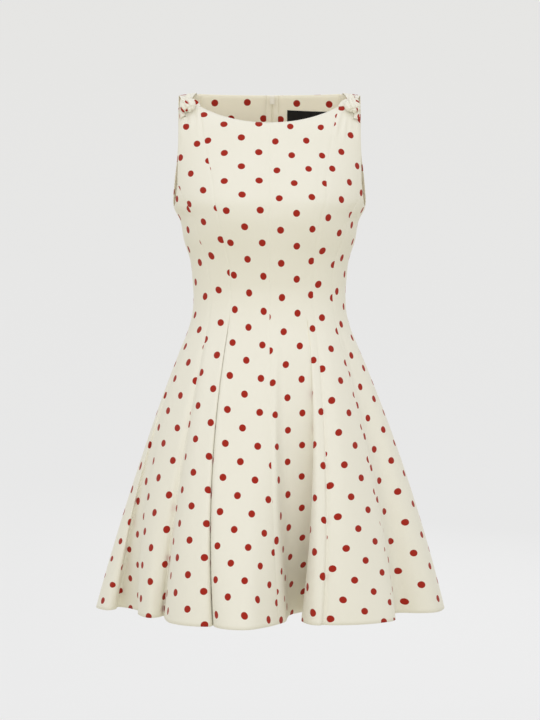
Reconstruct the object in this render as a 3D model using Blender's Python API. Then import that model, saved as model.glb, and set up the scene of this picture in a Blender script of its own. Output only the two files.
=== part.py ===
"""A sleeveless a-line dress, filled out and hollow, with a fluted skirt and a tie on each shoulder.

Ten gores run from the top to the hem with no waist seam. Metres, +Z up. The front faces -Y and
+X is the wearer's left. The origin lies midway between the straps, where shoulders carry them.
Angles go round the dress from the centre front: 90 is the wearer's left side, 180 the centre back.
"""

import math

import bmesh
import bpy
import numpy as np
from mathutils import Matrix, Vector

# Cloth and seams
WALL = 0.002
SEAM_GAP = 0.0003
LAYER_GAP = 0.0003
FACING_THICKNESS = 0.001

# Heights
FLARE_Z = -0.368
MID_Z = -0.561
HEM_Z = -0.8415
FRONT_JOIN_Z = -0.146
BACK_JOIN_Z = -0.120
UNDERARM_Z = -0.182

# Necklines
FRONT_NECK_Z = -0.0485
FRONT_NECK_RISE = 0.030
FRONT_NECK_HALF = 0.1135
FRONT_NECK_POWER = 2.2
STRAP_SLOPE = 0.10
BACK_NECK_Z = 0.010
BACK_NECK_HALF = 0.118
BACK_STRAP_DROP = 0.20

# Armholes: where each curve leaves its seam, and how fast it levels out under the arm
FRONT_ARM_DEG = 69.5
FRONT_ARM_POWER = 6.0
BACK_ARM_DEG = 103.5
BACK_ARM_POWER = 1.46

# Cross-section and bust
SECTION_POWER = 2.2
BUST_SWELL = 0.010
BUST_X = 0.082
BUST_Z = -0.190
BUST_SPREAD = 0.046

# Rows of the grids: above the armhole joins, down to the flare, and down the skirt
UPPER_STEPS = (0.0, 0.07, 0.16, 0.40, 0.70, 1.0)
BODICE_ROWS = 6
SKIRT_ROWS = 8

# The bodice's sections: height, half width, depth in front of the middle, depth behind it
BODICE = (
    (0.030, 0.1560, -0.004, 0.046),
    (0.010, 0.1580, 0.008, 0.055),
    (-0.015, 0.1590, 0.026, 0.064),
    (-0.050, 0.1600, 0.056, 0.076),
    (-0.100, 0.1608, 0.083, 0.090),
    (-0.145, 0.1605, 0.105, 0.097),
    (-0.172, 0.1598, 0.116, 0.098),
    (-0.184, 0.1572, 0.120, 0.098),
    (-0.203, 0.1475, 0.121, 0.096),
    (-0.236, 0.1410, 0.115, 0.090),
    (-0.270, 0.1305, 0.105, 0.083),
    (-0.302, 0.1268, 0.097, 0.078),
    (-0.327, 0.1252, 0.093, 0.076),
    (-0.368, 0.1268, 0.096, 0.082),
)

# Seams down the bodice, in degrees: height, princess and side-front seams on each side
FRONT_SEAMS = (
    # height, princess left, princess right, side-front left, side-front right
    (0.030, 45.6, 45.6, 68.2, 68.2),
    (-0.018, 45.4, 45.4, 68.6, 68.6),
    (-0.050, 41.2, 43.4, 68.6, 68.6),
    (-0.109, 36.4, 38.0, 68.8, 68.8),
    (-0.146, 34.8, 34.8, 69.5, 69.5),
    (-0.156, 34.9, 34.2, 67.4, 66.0),
    (-0.182, 35.0, 33.6, 63.6, 58.4),
    (-0.212, 34.0, 33.6, 61.6, 56.4),
    (-0.247, 33.2, 31.8, 57.4, 53.2),
    (-0.289, 33.6, 30.2, 54.2, 51.0),
    (-0.330, 34.2, 30.0, 54.8, 49.6),
    (-0.368, 35.0, 30.0, 56.0, 50.0),
)
BACK_SEAMS = (
    # height, side-back seam on either side, centre back
    (0.030, 107.0, 178.4),
    (0.005, 107.2, 178.4),
    (-0.060, 108.2, 178.5),
    (-0.102, 106.3, 178.7),
    (-0.120, 103.5, 178.8),
    (-0.140, 111.5, 179.0),
    (-0.170, 122.0, 179.2),
    (-0.210, 132.5, 179.4),
    (-0.260, 140.5, 179.7),
    (-0.320, 146.0, 180.0),
    (-0.368, 148.0, 180.0),
)

# Folds of the skirt, once round from the centre front: name, angle at the flare, place on the
# ring at mid height (x, y) and on the hem (x, y)
FOLDS = (
    ("centre_front", 0.0, 0.000, -0.176, 0.000, -0.238),
    ("front_flute_turn", 8.0, 0.022, -0.176, 0.0235, -0.210),
    ("front_valley_wall", 14.0, 0.036, -0.173, 0.029, -0.135),
    ("front_valley", 20.5, 0.049, -0.166, 0.037, -0.084),
    ("narrow_flute_wall", 26.0, 0.059, -0.155, 0.0455, -0.128),
    ("narrow_flute", 30.5, 0.068, -0.150, 0.058, -0.190),
    ("princess_left", 35.0, 0.088, -0.157, 0.0845, -0.197),
    ("left_front_flute", 41.0, 0.106, -0.158, 0.108, -0.232),
    ("left_front_crest", 48.0, 0.128, -0.140, 0.146, -0.215),
    ("side_front_left", 56.0, 0.151, -0.106, 0.193, -0.163),
    ("left_side_wall", 62.0, 0.164, -0.080, 0.206, -0.085),
    ("left_side_valley", 69.0, 0.176, -0.058, 0.220, -0.034),
    ("left_side_flute", 78.0, 0.192, -0.032, 0.256, -0.032),
    ("side_left", 90.0, 0.2030, 0.000, 0.2885, 0.002),
    ("left_hip_flute", 98.0, 0.198, 0.034, 0.270, 0.058),
    ("left_hip_valley", 106.0, 0.180, 0.058, 0.219, 0.066),
    ("left_back_flute", 115.0, 0.169, 0.094, 0.222, 0.144),
    ("left_back_crest", 124.0, 0.147, 0.122, 0.176, 0.192),
    ("left_back_valley", 133.0, 0.122, 0.132, 0.134, 0.138),
    ("left_back_wall", 141.0, 0.105, 0.152, 0.118, 0.214),
    ("side_back_left", 148.0, 0.083, 0.160, 0.084, 0.196),
    ("back_flute_left", 158.0, 0.056, 0.175, 0.056, 0.244),
    ("back_valley_left", 169.0, 0.028, 0.168, 0.022, 0.184),
    ("centre_back", 180.0, 0.000, 0.176, -0.011, 0.234),
    ("back_flute_right", 190.0, -0.029, 0.177, -0.046, 0.240),
    ("back_valley_right", 201.0, -0.058, 0.165, -0.064, 0.178),
    ("side_back_right", 212.0, -0.086, 0.162, -0.090, 0.224),
    ("right_back_crest", 221.0, -0.111, 0.150, -0.130, 0.220),
    ("right_back_valley", 230.0, -0.134, 0.128, -0.142, 0.140),
    ("right_back_flute", 240.0, -0.158, 0.110, -0.190, 0.176),
    ("right_hip_crest", 250.0, -0.178, 0.075, -0.234, 0.126),
    ("right_hip_valley", 259.0, -0.189, 0.045, -0.226, 0.056),
    ("right_hip_flute", 265.0, -0.197, 0.022, -0.268, 0.046),
    ("side_right", 270.0, -0.1995, 0.000, -0.2865, 0.002),
    ("right_side_flute", 275.0, -0.198, -0.018, -0.266, -0.042),
    ("right_side_valley_edge", 281.0, -0.193, -0.032, -0.235, -0.002),
    ("right_side_valley", 285.5, -0.187, -0.048, -0.217, -0.008),
    ("second_flute_edge", 292.0, -0.175, -0.077, -0.206, -0.102),
    ("second_flute", 299.0, -0.160, -0.100, -0.187, -0.130),
    ("second_flute_end", 305.0, -0.144, -0.117, -0.174, -0.125),
    ("side_front_right", 310.0, -0.133, -0.121, -0.1655, -0.100),
    ("third_flute_edge", 313.5, -0.124, -0.141, -0.159, -0.132),
    ("third_flute_turn", 317.0, -0.116, -0.153, -0.152, -0.192),
    ("third_flute", 321.5, -0.105, -0.162, -0.125, -0.236),
    ("third_flute_end", 326.5, -0.092, -0.169, -0.096, -0.240),
    ("princess_right", 330.0, -0.0845, -0.164, -0.089, -0.190),
    ("front_flute_edge", 333.5, -0.076, -0.172, -0.082, -0.244),
    ("front_flute_left", 341.0, -0.056, -0.177, -0.062, -0.266),
    ("front_flute", 350.0, -0.029, -0.178, -0.032, -0.257),
)

# Gores from the front to the back, and the ribs of each fold: more where the hem is longer
GORES = ("centre_front", "mid_front", "side_front", "side_back", "centre_back")
RIBS_PER_FOLD = 2
LONG_FOLD = 0.22
RIBS_PER_LONG_FOLD = 3

# Shoulder ties, for the wearer's left. The straps meet behind the knot, which lies on the front
# strap's lower end, this share of the way from the gore's first row to its second
STRAPS_MEET = (0.1370, -0.0060, -0.0030)
STRAP_END_WIDTH = 0.017
FRONT_STRAP_BEND = 0.45
BACK_STRAP_BEND = 0.16
STRAP_GATHER = 0.0008
STRAP_STEPS = 5
KNOT_INWARD = 0.003
KNOT_DOWN = 0.6
KNOT_RADII = (0.0145, 0.0078, 0.0135)
# The tie's ends, in the knot's frame: towards the armhole, out of the cloth, up the strap
TAIL_ROUTES = {
    "tail_top": ((-0.0010, -0.0010, 0.0132), (0.0000, -0.0010, 0.0180), (0.0020, -0.0020, 0.0220)),
    "tail_side": ((0.0106, -0.0042, -0.0095), (0.0122, -0.0045, -0.0170),
                  (0.0114, -0.0045, -0.0250)),
}
TAIL_START, TAIL_END, TAIL_THICKNESS = 0.0075, 0.0110, 0.0036

# Concealed zip
TAPE_WIDTH = 0.011
TAPE_THICKNESS = 0.0008
SLIDER_WIDTH = 0.0080
SLIDER_HEIGHT = 0.0135
SLIDER_DEPTH = 0.0040
SLIDER_OPENING = 0.0016
NECK_WIDTH = 0.0020
NECK_LOW = -0.0105
NECK_HIGH = -0.0045
CROWN_THICKNESS = 0.0010
EAR_THICKNESS = 0.0008
EAR_INNER = 0.0029
PIVOT_OUT = 0.0034
PIVOT_UP = -0.0080
PIN_RADIUS = 0.0006
PIN_CLEARANCE = 0.0003
KNUCKLE_RADIUS = 0.0014
KNUCKLE_HALF = 0.0026
TAB_LENGTH = 0.026
TAB_WIDTH = 0.0062
TAB_THICKNESS = 0.0012
TAB_REST = 0.0006

# Label
LABEL_START = 0.0255
LABEL_WIDTH = 0.070
LABEL_TOP_Z = -0.0125
LABEL_HEIGHT = 0.025
LABEL_THICKNESS = 0.0007

CREAM = (0.83, 0.80, 0.68)
CREAM_INSIDE = (0.74, 0.68, 0.50)
LABEL_BLACK = (0.012, 0.012, 0.013)
ZIP_CREAM = (0.78, 0.74, 0.60)


# ---------------------------------------------------------------- smooth tables


def slopes(knots, values, monotone):
    """Slope at each knot: Catmull-Rom for uneven knots, flattened at turning points if monotone."""
    steps = np.diff(knots)[:, None]
    rates = np.diff(values, axis=0) / steps
    inner = (rates[:-1] * steps[1:] + rates[1:] * steps[:-1]) / (steps[:-1] + steps[1:])
    if monotone:
        low = 3 * np.minimum(abs(rates[:-1]), abs(rates[1:]))
        inner = np.where(rates[:-1] * rates[1:] > 0, np.clip(inner, -low, low), 0.0)
    return np.concatenate([rates[:1], inner, rates[-1:]])


def smooth(table, monotone=True):
    """A function of the first column that returns the others, on a smooth curve through the rows."""
    rows = np.array(table, float)
    rows = rows[np.argsort(rows[:, 0])]
    knots, values = rows[:, 0], rows[:, 1:]
    rates = slopes(knots, values, monotone)

    def read(at):
        at = np.clip(np.asarray(at, float), knots[0], knots[-1])
        k = np.clip(np.searchsorted(knots, at, "right") - 1, 0, len(knots) - 2)
        step = (knots[k + 1] - knots[k])[..., None]
        t = ((at - knots[k]) / (knots[k + 1] - knots[k]))[..., None]
        return (
            values[k] * (1 + 2 * t) * (1 - t) ** 2
            + values[k + 1] * t * t * (3 - 2 * t)
            + rates[k] * step * t * (1 - t) ** 2
            + rates[k + 1] * step * t * t * (t - 1)
        )

    return read


def fold_curve():
    """Folds by distance round the hem: the curve's function and the distance of each named fold."""
    places = np.array([fold[1:] for fold in FOLDS], float)
    last = places[0] + np.array([360.0, 0, 0, 0, 0])
    ring = np.vstack([places, last])
    chords = np.sqrt(np.linalg.norm(np.diff(ring[:, 3:], axis=0), axis=1))
    along = np.concatenate([[0.0], np.cumsum(chords)])
    total = along[-1]
    wrapped = [
        np.column_stack([along[:-1] + total * turn, places + np.array([360.0 * turn, 0, 0, 0, 0])])
        for turn in (-1, 0, 1)
    ]
    named = {fold[0]: along[k] for k, fold in enumerate(FOLDS)}
    return smooth(np.vstack(wrapped), monotone=False), named, total


BODICE_AT = smooth(BODICE)
FRONT_SEAMS_AT = smooth(FRONT_SEAMS)
BACK_SEAMS_AT = smooth(BACK_SEAMS)
FOLD_AT, FOLD_PLACE, FOLD_TOTAL = fold_curve()


# ---------------------------------------------------------------- the dress's surface


def bodice_point(degrees, height):
    """Points on the outer cloth at these angles and heights, above the flare."""
    angle = np.radians(degrees)
    half_width, front, back = np.moveaxis(BODICE_AT(height), -1, 0)
    sine, cosine = np.sin(angle), np.cos(angle)
    reach = (1 - abs(sine) ** SECTION_POWER).clip(0) ** (1 / SECTION_POWER)
    x = half_width * sine
    bust = BUST_SWELL * np.exp(
        -((abs(x) - BUST_X) ** 2 + (height - BUST_Z) ** 2) / (2 * BUST_SPREAD**2)
    )
    y = np.where(cosine > 0, -(front + bust) * reach, back * reach)
    return np.stack([x, y, height + 0 * x], -1)


def skirt_point(place, height):
    """Points on the outer cloth at these places round the folds and heights, below the flare."""
    degrees, mid_x, mid_y, hem_x, hem_y = np.moveaxis(FOLD_AT(place), -1, 0)
    top = bodice_point(degrees, np.full_like(degrees, FLARE_Z))
    t = (FLARE_Z - height) / (FLARE_Z - HEM_Z)
    middle = (FLARE_Z - MID_Z) / (FLARE_Z - HEM_Z)
    at_top = (t - middle) * (t - 1) / middle
    at_middle = t * (t - 1) / (middle * (middle - 1))
    at_hem = t * (t - middle) / (1 - middle)
    x = top[..., 0] * at_top + mid_x * at_middle + hem_x * at_hem
    y = top[..., 1] * at_top + mid_y * at_middle + hem_y * at_hem
    return np.stack([x, y, height + 0 * x], -1)


def outward(point_at, across, height):
    """Unit normals of a surface function, pointing out of the dress."""
    step_across, step_down = 0.02, 0.0005
    east = point_at(across + step_across, height) - point_at(across - step_across, height)
    up = point_at(across, height + step_down) - point_at(across, height - step_down)
    normal = np.cross(east, up)
    return normal / np.linalg.norm(normal, axis=-1, keepdims=True)


def front_neck(x):
    inside = np.minimum(abs(x) / FRONT_NECK_HALF, 1.0)
    outside = np.maximum(abs(x) - FRONT_NECK_HALF, 0.0)
    return FRONT_NECK_Z + FRONT_NECK_RISE * inside**FRONT_NECK_POWER + STRAP_SLOPE * outside


def back_neck(x):
    return BACK_NECK_Z - BACK_STRAP_DROP * np.maximum(abs(x) - BACK_NECK_HALF, 0.0)


def front_arm(degrees):
    along = (degrees - FRONT_ARM_DEG) / (90 - FRONT_ARM_DEG)
    return UNDERARM_Z + (FRONT_JOIN_Z - UNDERARM_Z) * abs(1 - along) ** FRONT_ARM_POWER


def back_arm(degrees):
    along = abs(degrees - 90) / (BACK_ARM_DEG - 90)
    return UNDERARM_Z + (BACK_JOIN_Z - UNDERARM_Z) * along**BACK_ARM_POWER


def seam_degrees(name, height):
    """Angle of a seam at these heights in the bodice, from 0 at the front to 180 at the back."""
    if name == "centre_front":
        return 0.0 * height
    if name == "side":
        return 90.0 + 0.0 * height
    if name in ("princess_left", "princess_right", "side_front_left", "side_front_right"):
        order = ("princess_left", "princess_right", "side_front_left", "side_front_right")
        return FRONT_SEAMS_AT(height)[..., order.index(name)]
    return BACK_SEAMS_AT(height)[..., 0 if name.startswith("side_back") else 1]


def gore_seams(kind, side):
    """The two seams of a gore, from the one nearer the front."""
    word = "left" if side > 0 else "right"
    return {
        "centre_front": ("centre_front", "princess_" + word),
        "mid_front": ("princess_" + word, "side_front_" + word),
        "side_front": ("side_front_" + word, "side"),
        "side_back": ("side", "side_back_" + word),
        "centre_back": ("side_back_" + word, "centre_back"),
    }[kind]


def fold_place(seam, side):
    """Place of a seam round the folds, counted so that it runs up from the front on either side."""
    if seam == "side":
        seam = "side_left" if side > 0 else "side_right"
    place = FOLD_PLACE[seam]
    return place - FOLD_TOTAL if side < 0 and place > 0 else place


def bodice_degrees(kind, side, share, height):
    """Angle at a share of the way across a gore. The right side's centre back mirrors the left's."""
    near, far = gore_seams(kind, side)
    first, last = seam_degrees(near, height), seam_degrees(far, height)
    if side < 0 and far == "centre_back":
        last = 360.0 - last
    return side * (first + (last - first) * share)


def top_height(kind, side, share):
    """Height of a gore's top edge, found by halving: the edge is a curve over place, not height."""
    edge = {
        "centre_front": lambda point, degrees: front_neck(point[..., 0]),
        "mid_front": lambda point, degrees: front_neck(point[..., 0]),
        "side_front": lambda point, degrees: front_arm(abs(degrees)),
        "side_back": lambda point, degrees: back_arm(abs(degrees)),
        "centre_back": lambda point, degrees: back_neck(point[..., 0]),
    }[kind]
    high = np.full_like(share, 0.020)
    if kind == "side_front":
        high = np.full_like(share, FRONT_JOIN_Z)
    if kind == "side_back":
        high = np.full_like(share, BACK_JOIN_Z)
    low = np.full_like(share, -0.200)
    for _ in range(40):
        middle = (high + low) / 2
        degrees = bodice_degrees(kind, side, share, middle)
        above = middle > edge(bodice_point(degrees, middle), degrees)
        high = np.where(above, middle, high)
        low = np.where(above, low, middle)
    return (high + low) / 2


def ribs(start, end):
    """Places across a gore, with a rib on each fold and others between, from start to end."""
    folds = np.sort(np.array(list(FOLD_PLACE.values())))
    folds = np.concatenate([folds - FOLD_TOTAL, folds, [FOLD_TOTAL]])
    low, high = min(start, end), max(start, end)
    folds = folds[(folds > low - 1e-9) & (folds < high + 1e-9)]
    places = [folds[:1]]
    for first, second in zip(folds, folds[1:]):
        count = RIBS_PER_LONG_FOLD if second - first > LONG_FOLD else RIBS_PER_FOLD
        places.append(np.linspace(first, second, count + 1)[1:])
    places = np.concatenate(places)
    return places if start < end else places[::-1]


def gore_grid(kind, side):
    """Outer points and normals of a gore, a row for each height and a column for each rib."""
    near, far = gore_seams(kind, side)
    place = ribs(fold_place(near, side), fold_place(far, side))
    at_flare = FOLD_AT(place)[:, 0]
    share = (at_flare - at_flare[0]) / (at_flare[-1] - at_flare[0])
    top = top_height(kind, side, share)
    heights = []
    if kind in ("side_front", "side_back"):
        joined = top
    else:
        joined = np.full_like(top, BACK_JOIN_Z if kind == "centre_back" else FRONT_JOIN_Z)
        heights += [top + (joined - top) * step for step in UPPER_STEPS[:-1]]
    heights += [joined + (FLARE_Z - joined) * k / BODICE_ROWS for k in range(BODICE_ROWS)]
    points, normals = [], []
    for height in heights:
        degrees = bodice_degrees(kind, side, share, height)
        points.append(bodice_point(degrees, height))
        normals.append(outward(bodice_point, degrees, height))
    for k in range(SKIRT_ROWS + 1):
        height = np.full_like(place, FLARE_Z + (HEM_Z - FLARE_Z) * k / SKIRT_ROWS)
        points.append(skirt_point(place, height))
        normal = outward(skirt_point, place, height)
        if k == 0:
            normal = normal + outward(bodice_point, at_flare, height)
            normal /= np.linalg.norm(normal, axis=-1, keepdims=True)
        normals.append(normal)
    points, normals = np.array(points), np.array(normals)
    upper = 0 if kind != "centre_back" else 2
    return part_seams(points, upper), normals


def part_seams(points, open_rows):
    """Draws the two side edges in by half a seam gap, and further at the zip's open top rows."""
    points = points.copy()
    for edge, inner in ((0, 1), (-1, -2)):
        toward = points[:, inner] - points[:, edge]
        toward /= np.linalg.norm(toward, axis=-1, keepdims=True)
        gap = np.full(len(points), SEAM_GAP / 2)
        if edge == -1:
            gap[:open_rows] = SLIDER_OPENING
        points[:, edge] += toward * gap[:, None]
    return points


# ---------------------------------------------------------------- meshes and materials


def make_material(name, colour, roughness, metallic=0.0):
    material = bpy.data.materials.new(name)
    material.use_nodes = True
    shader = material.node_tree.nodes["Principled BSDF"]
    shader.inputs["Base Color"].default_value = (*colour, 1.0)
    shader.inputs["Roughness"].default_value = roughness
    shader.inputs["Metallic"].default_value = metallic
    material.diffuse_color = (*colour, 1.0)
    return material


def add_object(name, bm, material):
    bm.normal_update()
    bmesh.ops.recalc_face_normals(bm, faces=bm.faces)
    mesh = bpy.data.meshes.new(name)
    bm.to_mesh(mesh)
    bm.free()
    mesh.materials.append(material)
    mesh.shade_smooth()
    mesh.set_sharp_from_angle(angle=math.radians(40))
    obj = bpy.data.objects.new(name, mesh)
    bpy.context.scene.collection.objects.link(obj)
    return obj


def add_wall(name, outer, inner, material):
    """A closed sheet between two grids of points."""
    rows, columns = outer.shape[:2]
    bm = bmesh.new()
    skins = [[[bm.verts.new(p) for p in row] for row in grid] for grid in (outer, inner)]
    # Every sheet splits its squares the same way, so that sheets laid together stay apart
    for skin in skins:
        for i in range(rows - 1):
            for j in range(columns - 1):
                corner, opposite = skin[i][j], skin[i + 1][j + 1]
                bm.faces.new((corner, skin[i][j + 1], opposite))
                bm.faces.new((corner, opposite, skin[i + 1][j]))
    near, far = skins
    for i in (0, rows - 1):
        for j in range(columns - 1):
            bm.faces.new((near[i][j], far[i][j], far[i][j + 1], near[i][j + 1]))
    # Edges that meet along a seam turn as they go down, so both sides split them the same way
    for j in (0, columns - 1):
        for i in range(rows - 1):
            bm.faces.new((near[i][j], far[i][j], far[i + 1][j]))
            bm.faces.new((near[i][j], far[i + 1][j], near[i + 1][j]))
    return add_object(name, bm, material)


def add_loft(name, rings, material):
    """A closed body through rings of points, with flat ends."""
    bm = bmesh.new()
    loops = [[bm.verts.new(p) for p in ring] for ring in rings]
    for first, second in zip(loops, loops[1:]):
        for a, b, c, d in zip(first, first[1:] + first[:1], second[1:] + second[:1], second):
            bm.faces.new((a, b, c, d))
    bm.faces.new(loops[0][::-1])
    bm.faces.new(loops[-1])
    return add_object(name, bm, material)


# ---------------------------------------------------------------- gores, facing, tapes, label


def along_rows(grid, distances):
    """Points at these distances from the last column, measured along each row of a grid."""
    found = []
    for row in grid[:, ::-1]:
        steps = np.concatenate([[0.0], np.cumsum(np.linalg.norm(np.diff(row, axis=0), axis=1))])
        found.append(np.stack([np.interp(distances, steps, row[:, axis]) for axis in range(3)], -1))
    return np.array(found)


def add_gores(cloth):
    grids = {}
    for kind in GORES:
        for side, suffix in ((1, "_l"), (-1, "_r")):
            points, normals = gore_grid(kind, side)
            inner = points - normals * WALL
            add_wall(kind + suffix, points, inner, cloth)
            grids[kind + suffix] = (points, normals)
    return grids


def lined(gore, rows, distances, lift, thickness, own_ribs=None):
    """Two skins laid on the inside of a gore: on some of its own ribs, and at distances from its
    last edge."""
    points, normals = gore
    skins = []
    for depth in (lift, lift + thickness):
        grid = (points - normals * (WALL + depth))[rows]
        strip = along_rows(grid, distances)
        if own_ribs is not None:
            strip = np.concatenate([grid[:, own_ribs], strip[:, ::-1]], axis=1)
        skins.append(strip)
    return skins


def add_back_lining(grids, inside_cloth, tape, label):
    facing_rows = slice(0, len(UPPER_STEPS) - 1)
    zip_rows = slice(0, len(UPPER_STEPS) + BODICE_ROWS - 1)
    start = TAPE_WIDTH + 2 * SEAM_GAP
    for suffix in ("_l", "_r"):
        gore = grids["centre_back" + suffix]
        top = abs(gore[0][0][:, 0] - gore[0][0][-1, 0])
        wide = (top > 1.3 * start) & (abs(gore[0][0][:, 0]) < BACK_NECK_HALF)
        skins = lined(gore, facing_rows, [start], LAYER_GAP, FACING_THICKNESS, wide)
        add_wall("back_facing" + suffix, *skins, inside_cloth)
        tape_across = [SEAM_GAP, TAPE_WIDTH / 2, TAPE_WIDTH]
        skins = lined(gore, zip_rows, tape_across, LAYER_GAP, TAPE_THICKNESS)
        add_wall("zip_tape" + suffix, *skins, tape)
    lift = 2 * LAYER_GAP + FACING_THICKNESS
    across = [LABEL_START + LABEL_WIDTH * k / 8 for k in range(9)]
    skins = lined(grids["centre_back_l"], facing_rows, across, lift, LABEL_THICKNESS)
    add_wall("neck_label", *(at_heights(skin) for skin in skins), label)


def at_heights(skin):
    """The stretch of a skin between the label's upper and lower edges."""
    wanted = (LABEL_TOP_Z, LABEL_TOP_Z - LABEL_HEIGHT)
    rows = [
        [[np.interp(-z, -column[:, 2], column[:, axis]) for axis in range(3)]
         for column in np.moveaxis(skin, 1, 0)]
        for z in wanted
    ]
    return np.array(rows)


# ---------------------------------------------------------------- shoulder ties


def strap_rings(gore, columns, side, apart, bend_share):
    """Rings from a stretch of a gore's top edge to where the straps meet: it narrows and gathers."""
    points, normals = gore
    edge, normal = points[0][columns], normals[0][columns]
    rise = points[0][columns] - points[1][columns]
    rise /= np.linalg.norm(rise, axis=-1, keepdims=True)
    order = np.argsort(edge[:, 0] * side)
    edge, normal, rise = edge[order] + rise[order] * SEAM_GAP, normal[order], rise[order]
    share = np.linspace(0, 1, len(edge))[:, None]
    finish = np.array(STRAPS_MEET) + (share - 0.5) * np.array([STRAP_END_WIDTH, 0, 0])
    finish = (finish + np.array([0, apart, 0])) * np.array([side, 1, 1])
    length = np.linalg.norm(finish - edge, axis=-1, keepdims=True)
    bend = edge + rise * length * bend_share
    rings = []
    for k in range(STRAP_STEPS + 1):
        t = k / STRAP_STEPS
        upper = edge * (1 - t) ** 2 + bend * 2 * t * (1 - t) + finish * t * t
        upper[:, 2] += STRAP_GATHER * t * np.cos(share[:, 0] * 4 * math.pi)
        facing_out = normal * (1 - t) + np.array([0, 0, 1.0]) * t
        facing_out /= np.linalg.norm(facing_out, axis=-1, keepdims=True)
        lower = upper - facing_out * WALL
        rings.append([Vector(p) for p in upper] + [Vector(p) for p in lower[::-1]])
    return rings


def knot_frame(gore, side):
    """The knot's frame on the front strap: x towards the armhole, y out of the cloth, z up it."""
    middle = gore[0].shape[1] // 2
    base, out = (
        Vector(rows[0][middle]).lerp(Vector(rows[1][middle]), KNOT_DOWN) for rows in gore
    )
    out.normalize()
    across = Vector((side, 0, 0)) - out * out.x * side
    across.normalize()
    up = out.cross(across) * side
    centre = base - across * KNOT_INWARD + out * (KNOT_RADII[1] * 1.02 + LAYER_GAP)
    return Matrix.Translation(centre) @ Matrix((across, out, up)).transposed().to_4x4()


def add_ties(grids, cloth):
    for side, suffix in ((1, "_l"), (-1, "_r")):
        front = grids["mid_front" + suffix]
        everywhere = np.ones(front[0].shape[1], bool)
        rings = strap_rings(front, everywhere, side, -SEAM_GAP / 2, FRONT_STRAP_BEND)
        add_loft("strap_front" + suffix, rings, cloth)
        back = grids["centre_back" + suffix]
        strap = abs(back[0][0][:, 0]) > BACK_NECK_HALF
        rings = strap_rings(back, strap, side, SEAM_GAP / 2, BACK_STRAP_BEND)
        add_loft("strap_back" + suffix, rings, cloth)
        frame = knot_frame(front, side)
        add_knot("knot" + suffix, frame, cloth)
        for name, route in TAIL_ROUTES.items():
            add_tail(name + suffix, route, frame, cloth)


def add_knot(name, frame, cloth):
    """A lump with one band wrapped over it from front to back."""
    bm = bmesh.new()
    bmesh.ops.create_uvsphere(bm, u_segments=20, v_segments=12, radius=1.0)
    for vert in bm.verts:
        band = math.exp(-((vert.co.x * 0.9 + vert.co.z * 0.35) ** 2) / 0.10)
        swell = 0.90 + 0.12 * band
        local = Vector([vert.co[axis] * KNOT_RADII[axis] for axis in range(3)]) * swell
        vert.co = frame @ local
    add_object(name, bm, cloth)


def add_tail(name, route, frame, cloth):
    """A short folded end of the tie: a flat oval tube that widens towards its cut end."""
    start, turn, end = (Vector(place) for place in route)
    rings = []
    for k in range(5):
        t = k / 4
        point = start * (1 - t) ** 2 + turn * 2 * t * (1 - t) + end * t * t
        ahead = ((turn - start) * (1 - t) + (end - turn) * t).normalized()
        wide = Vector((0, 1, 0)).cross(ahead).normalized()
        thick = ahead.cross(wide).normalized()
        half_width = (TAIL_START + (TAIL_END - TAIL_START) * t) / 2
        rings.append([
            frame @ (point + wide * half_width * math.cos(a)
                     + thick * TAIL_THICKNESS / 2 * math.sin(a))
            for a in (2 * math.pi * n / 10 for n in range(10))
        ])
    add_loft(name, rings, cloth)


# ---------------------------------------------------------------- zip slider and pull tab


def zip_frame(grids):
    """The frame at the top of the back seam: x across the zip, y out of the dress, z up the seam."""
    left, right = grids["centre_back_l"][0], grids["centre_back_r"][0]
    top = Vector((left[0, -1] + right[0, -1]) / 2)
    low = Vector((left[2, -1] + right[2, -1]) / 2)
    up = (top - low).normalized()
    across = Vector((1, 0, 0))
    out = up.cross(across).normalized()
    across = out.cross(up)
    turn = Matrix((across, out, up)).transposed().to_4x4()
    return Matrix.Translation(top) @ turn


def helper(name, bm, frame):
    """A closed shape in the zip's frame, for a Boolean: it is left out of the model itself."""
    bmesh.ops.recalc_face_normals(bm, faces=bm.faces)
    mesh = bpy.data.meshes.new(name)
    bm.to_mesh(mesh)
    bm.free()
    mesh.transform(frame)
    obj = bpy.data.objects.new(name, mesh)
    obj.hide_render = True
    obj.display_type = "WIRE"
    bpy.context.scene.collection.objects.link(obj)
    return obj


def box(low, high):
    bm = bmesh.new()
    for vert in bmesh.ops.create_cube(bm, size=1.0)["verts"]:
        vert.co = Vector([(low[k] + high[k]) / 2 + vert.co[k] * (high[k] - low[k]) for k in range(3)])
    return bm


def rod(radius, half_length, out, up):
    """A round bar along x, centred at this place in the zip's frame."""
    bm = bmesh.new()
    turned = Matrix.Translation((0, out, up)) @ Matrix.Rotation(math.radians(90), 4, "Y")
    bmesh.ops.create_cone(bm, cap_ends=True, segments=16, radius1=radius, radius2=radius,
                          depth=2 * half_length, matrix=turned)
    return bm


def combine(target, other, operation):
    modifier = target.modifiers.new(other.name, "BOOLEAN")
    modifier.operation = operation
    modifier.solver = "EXACT"
    modifier.object = other


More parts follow.
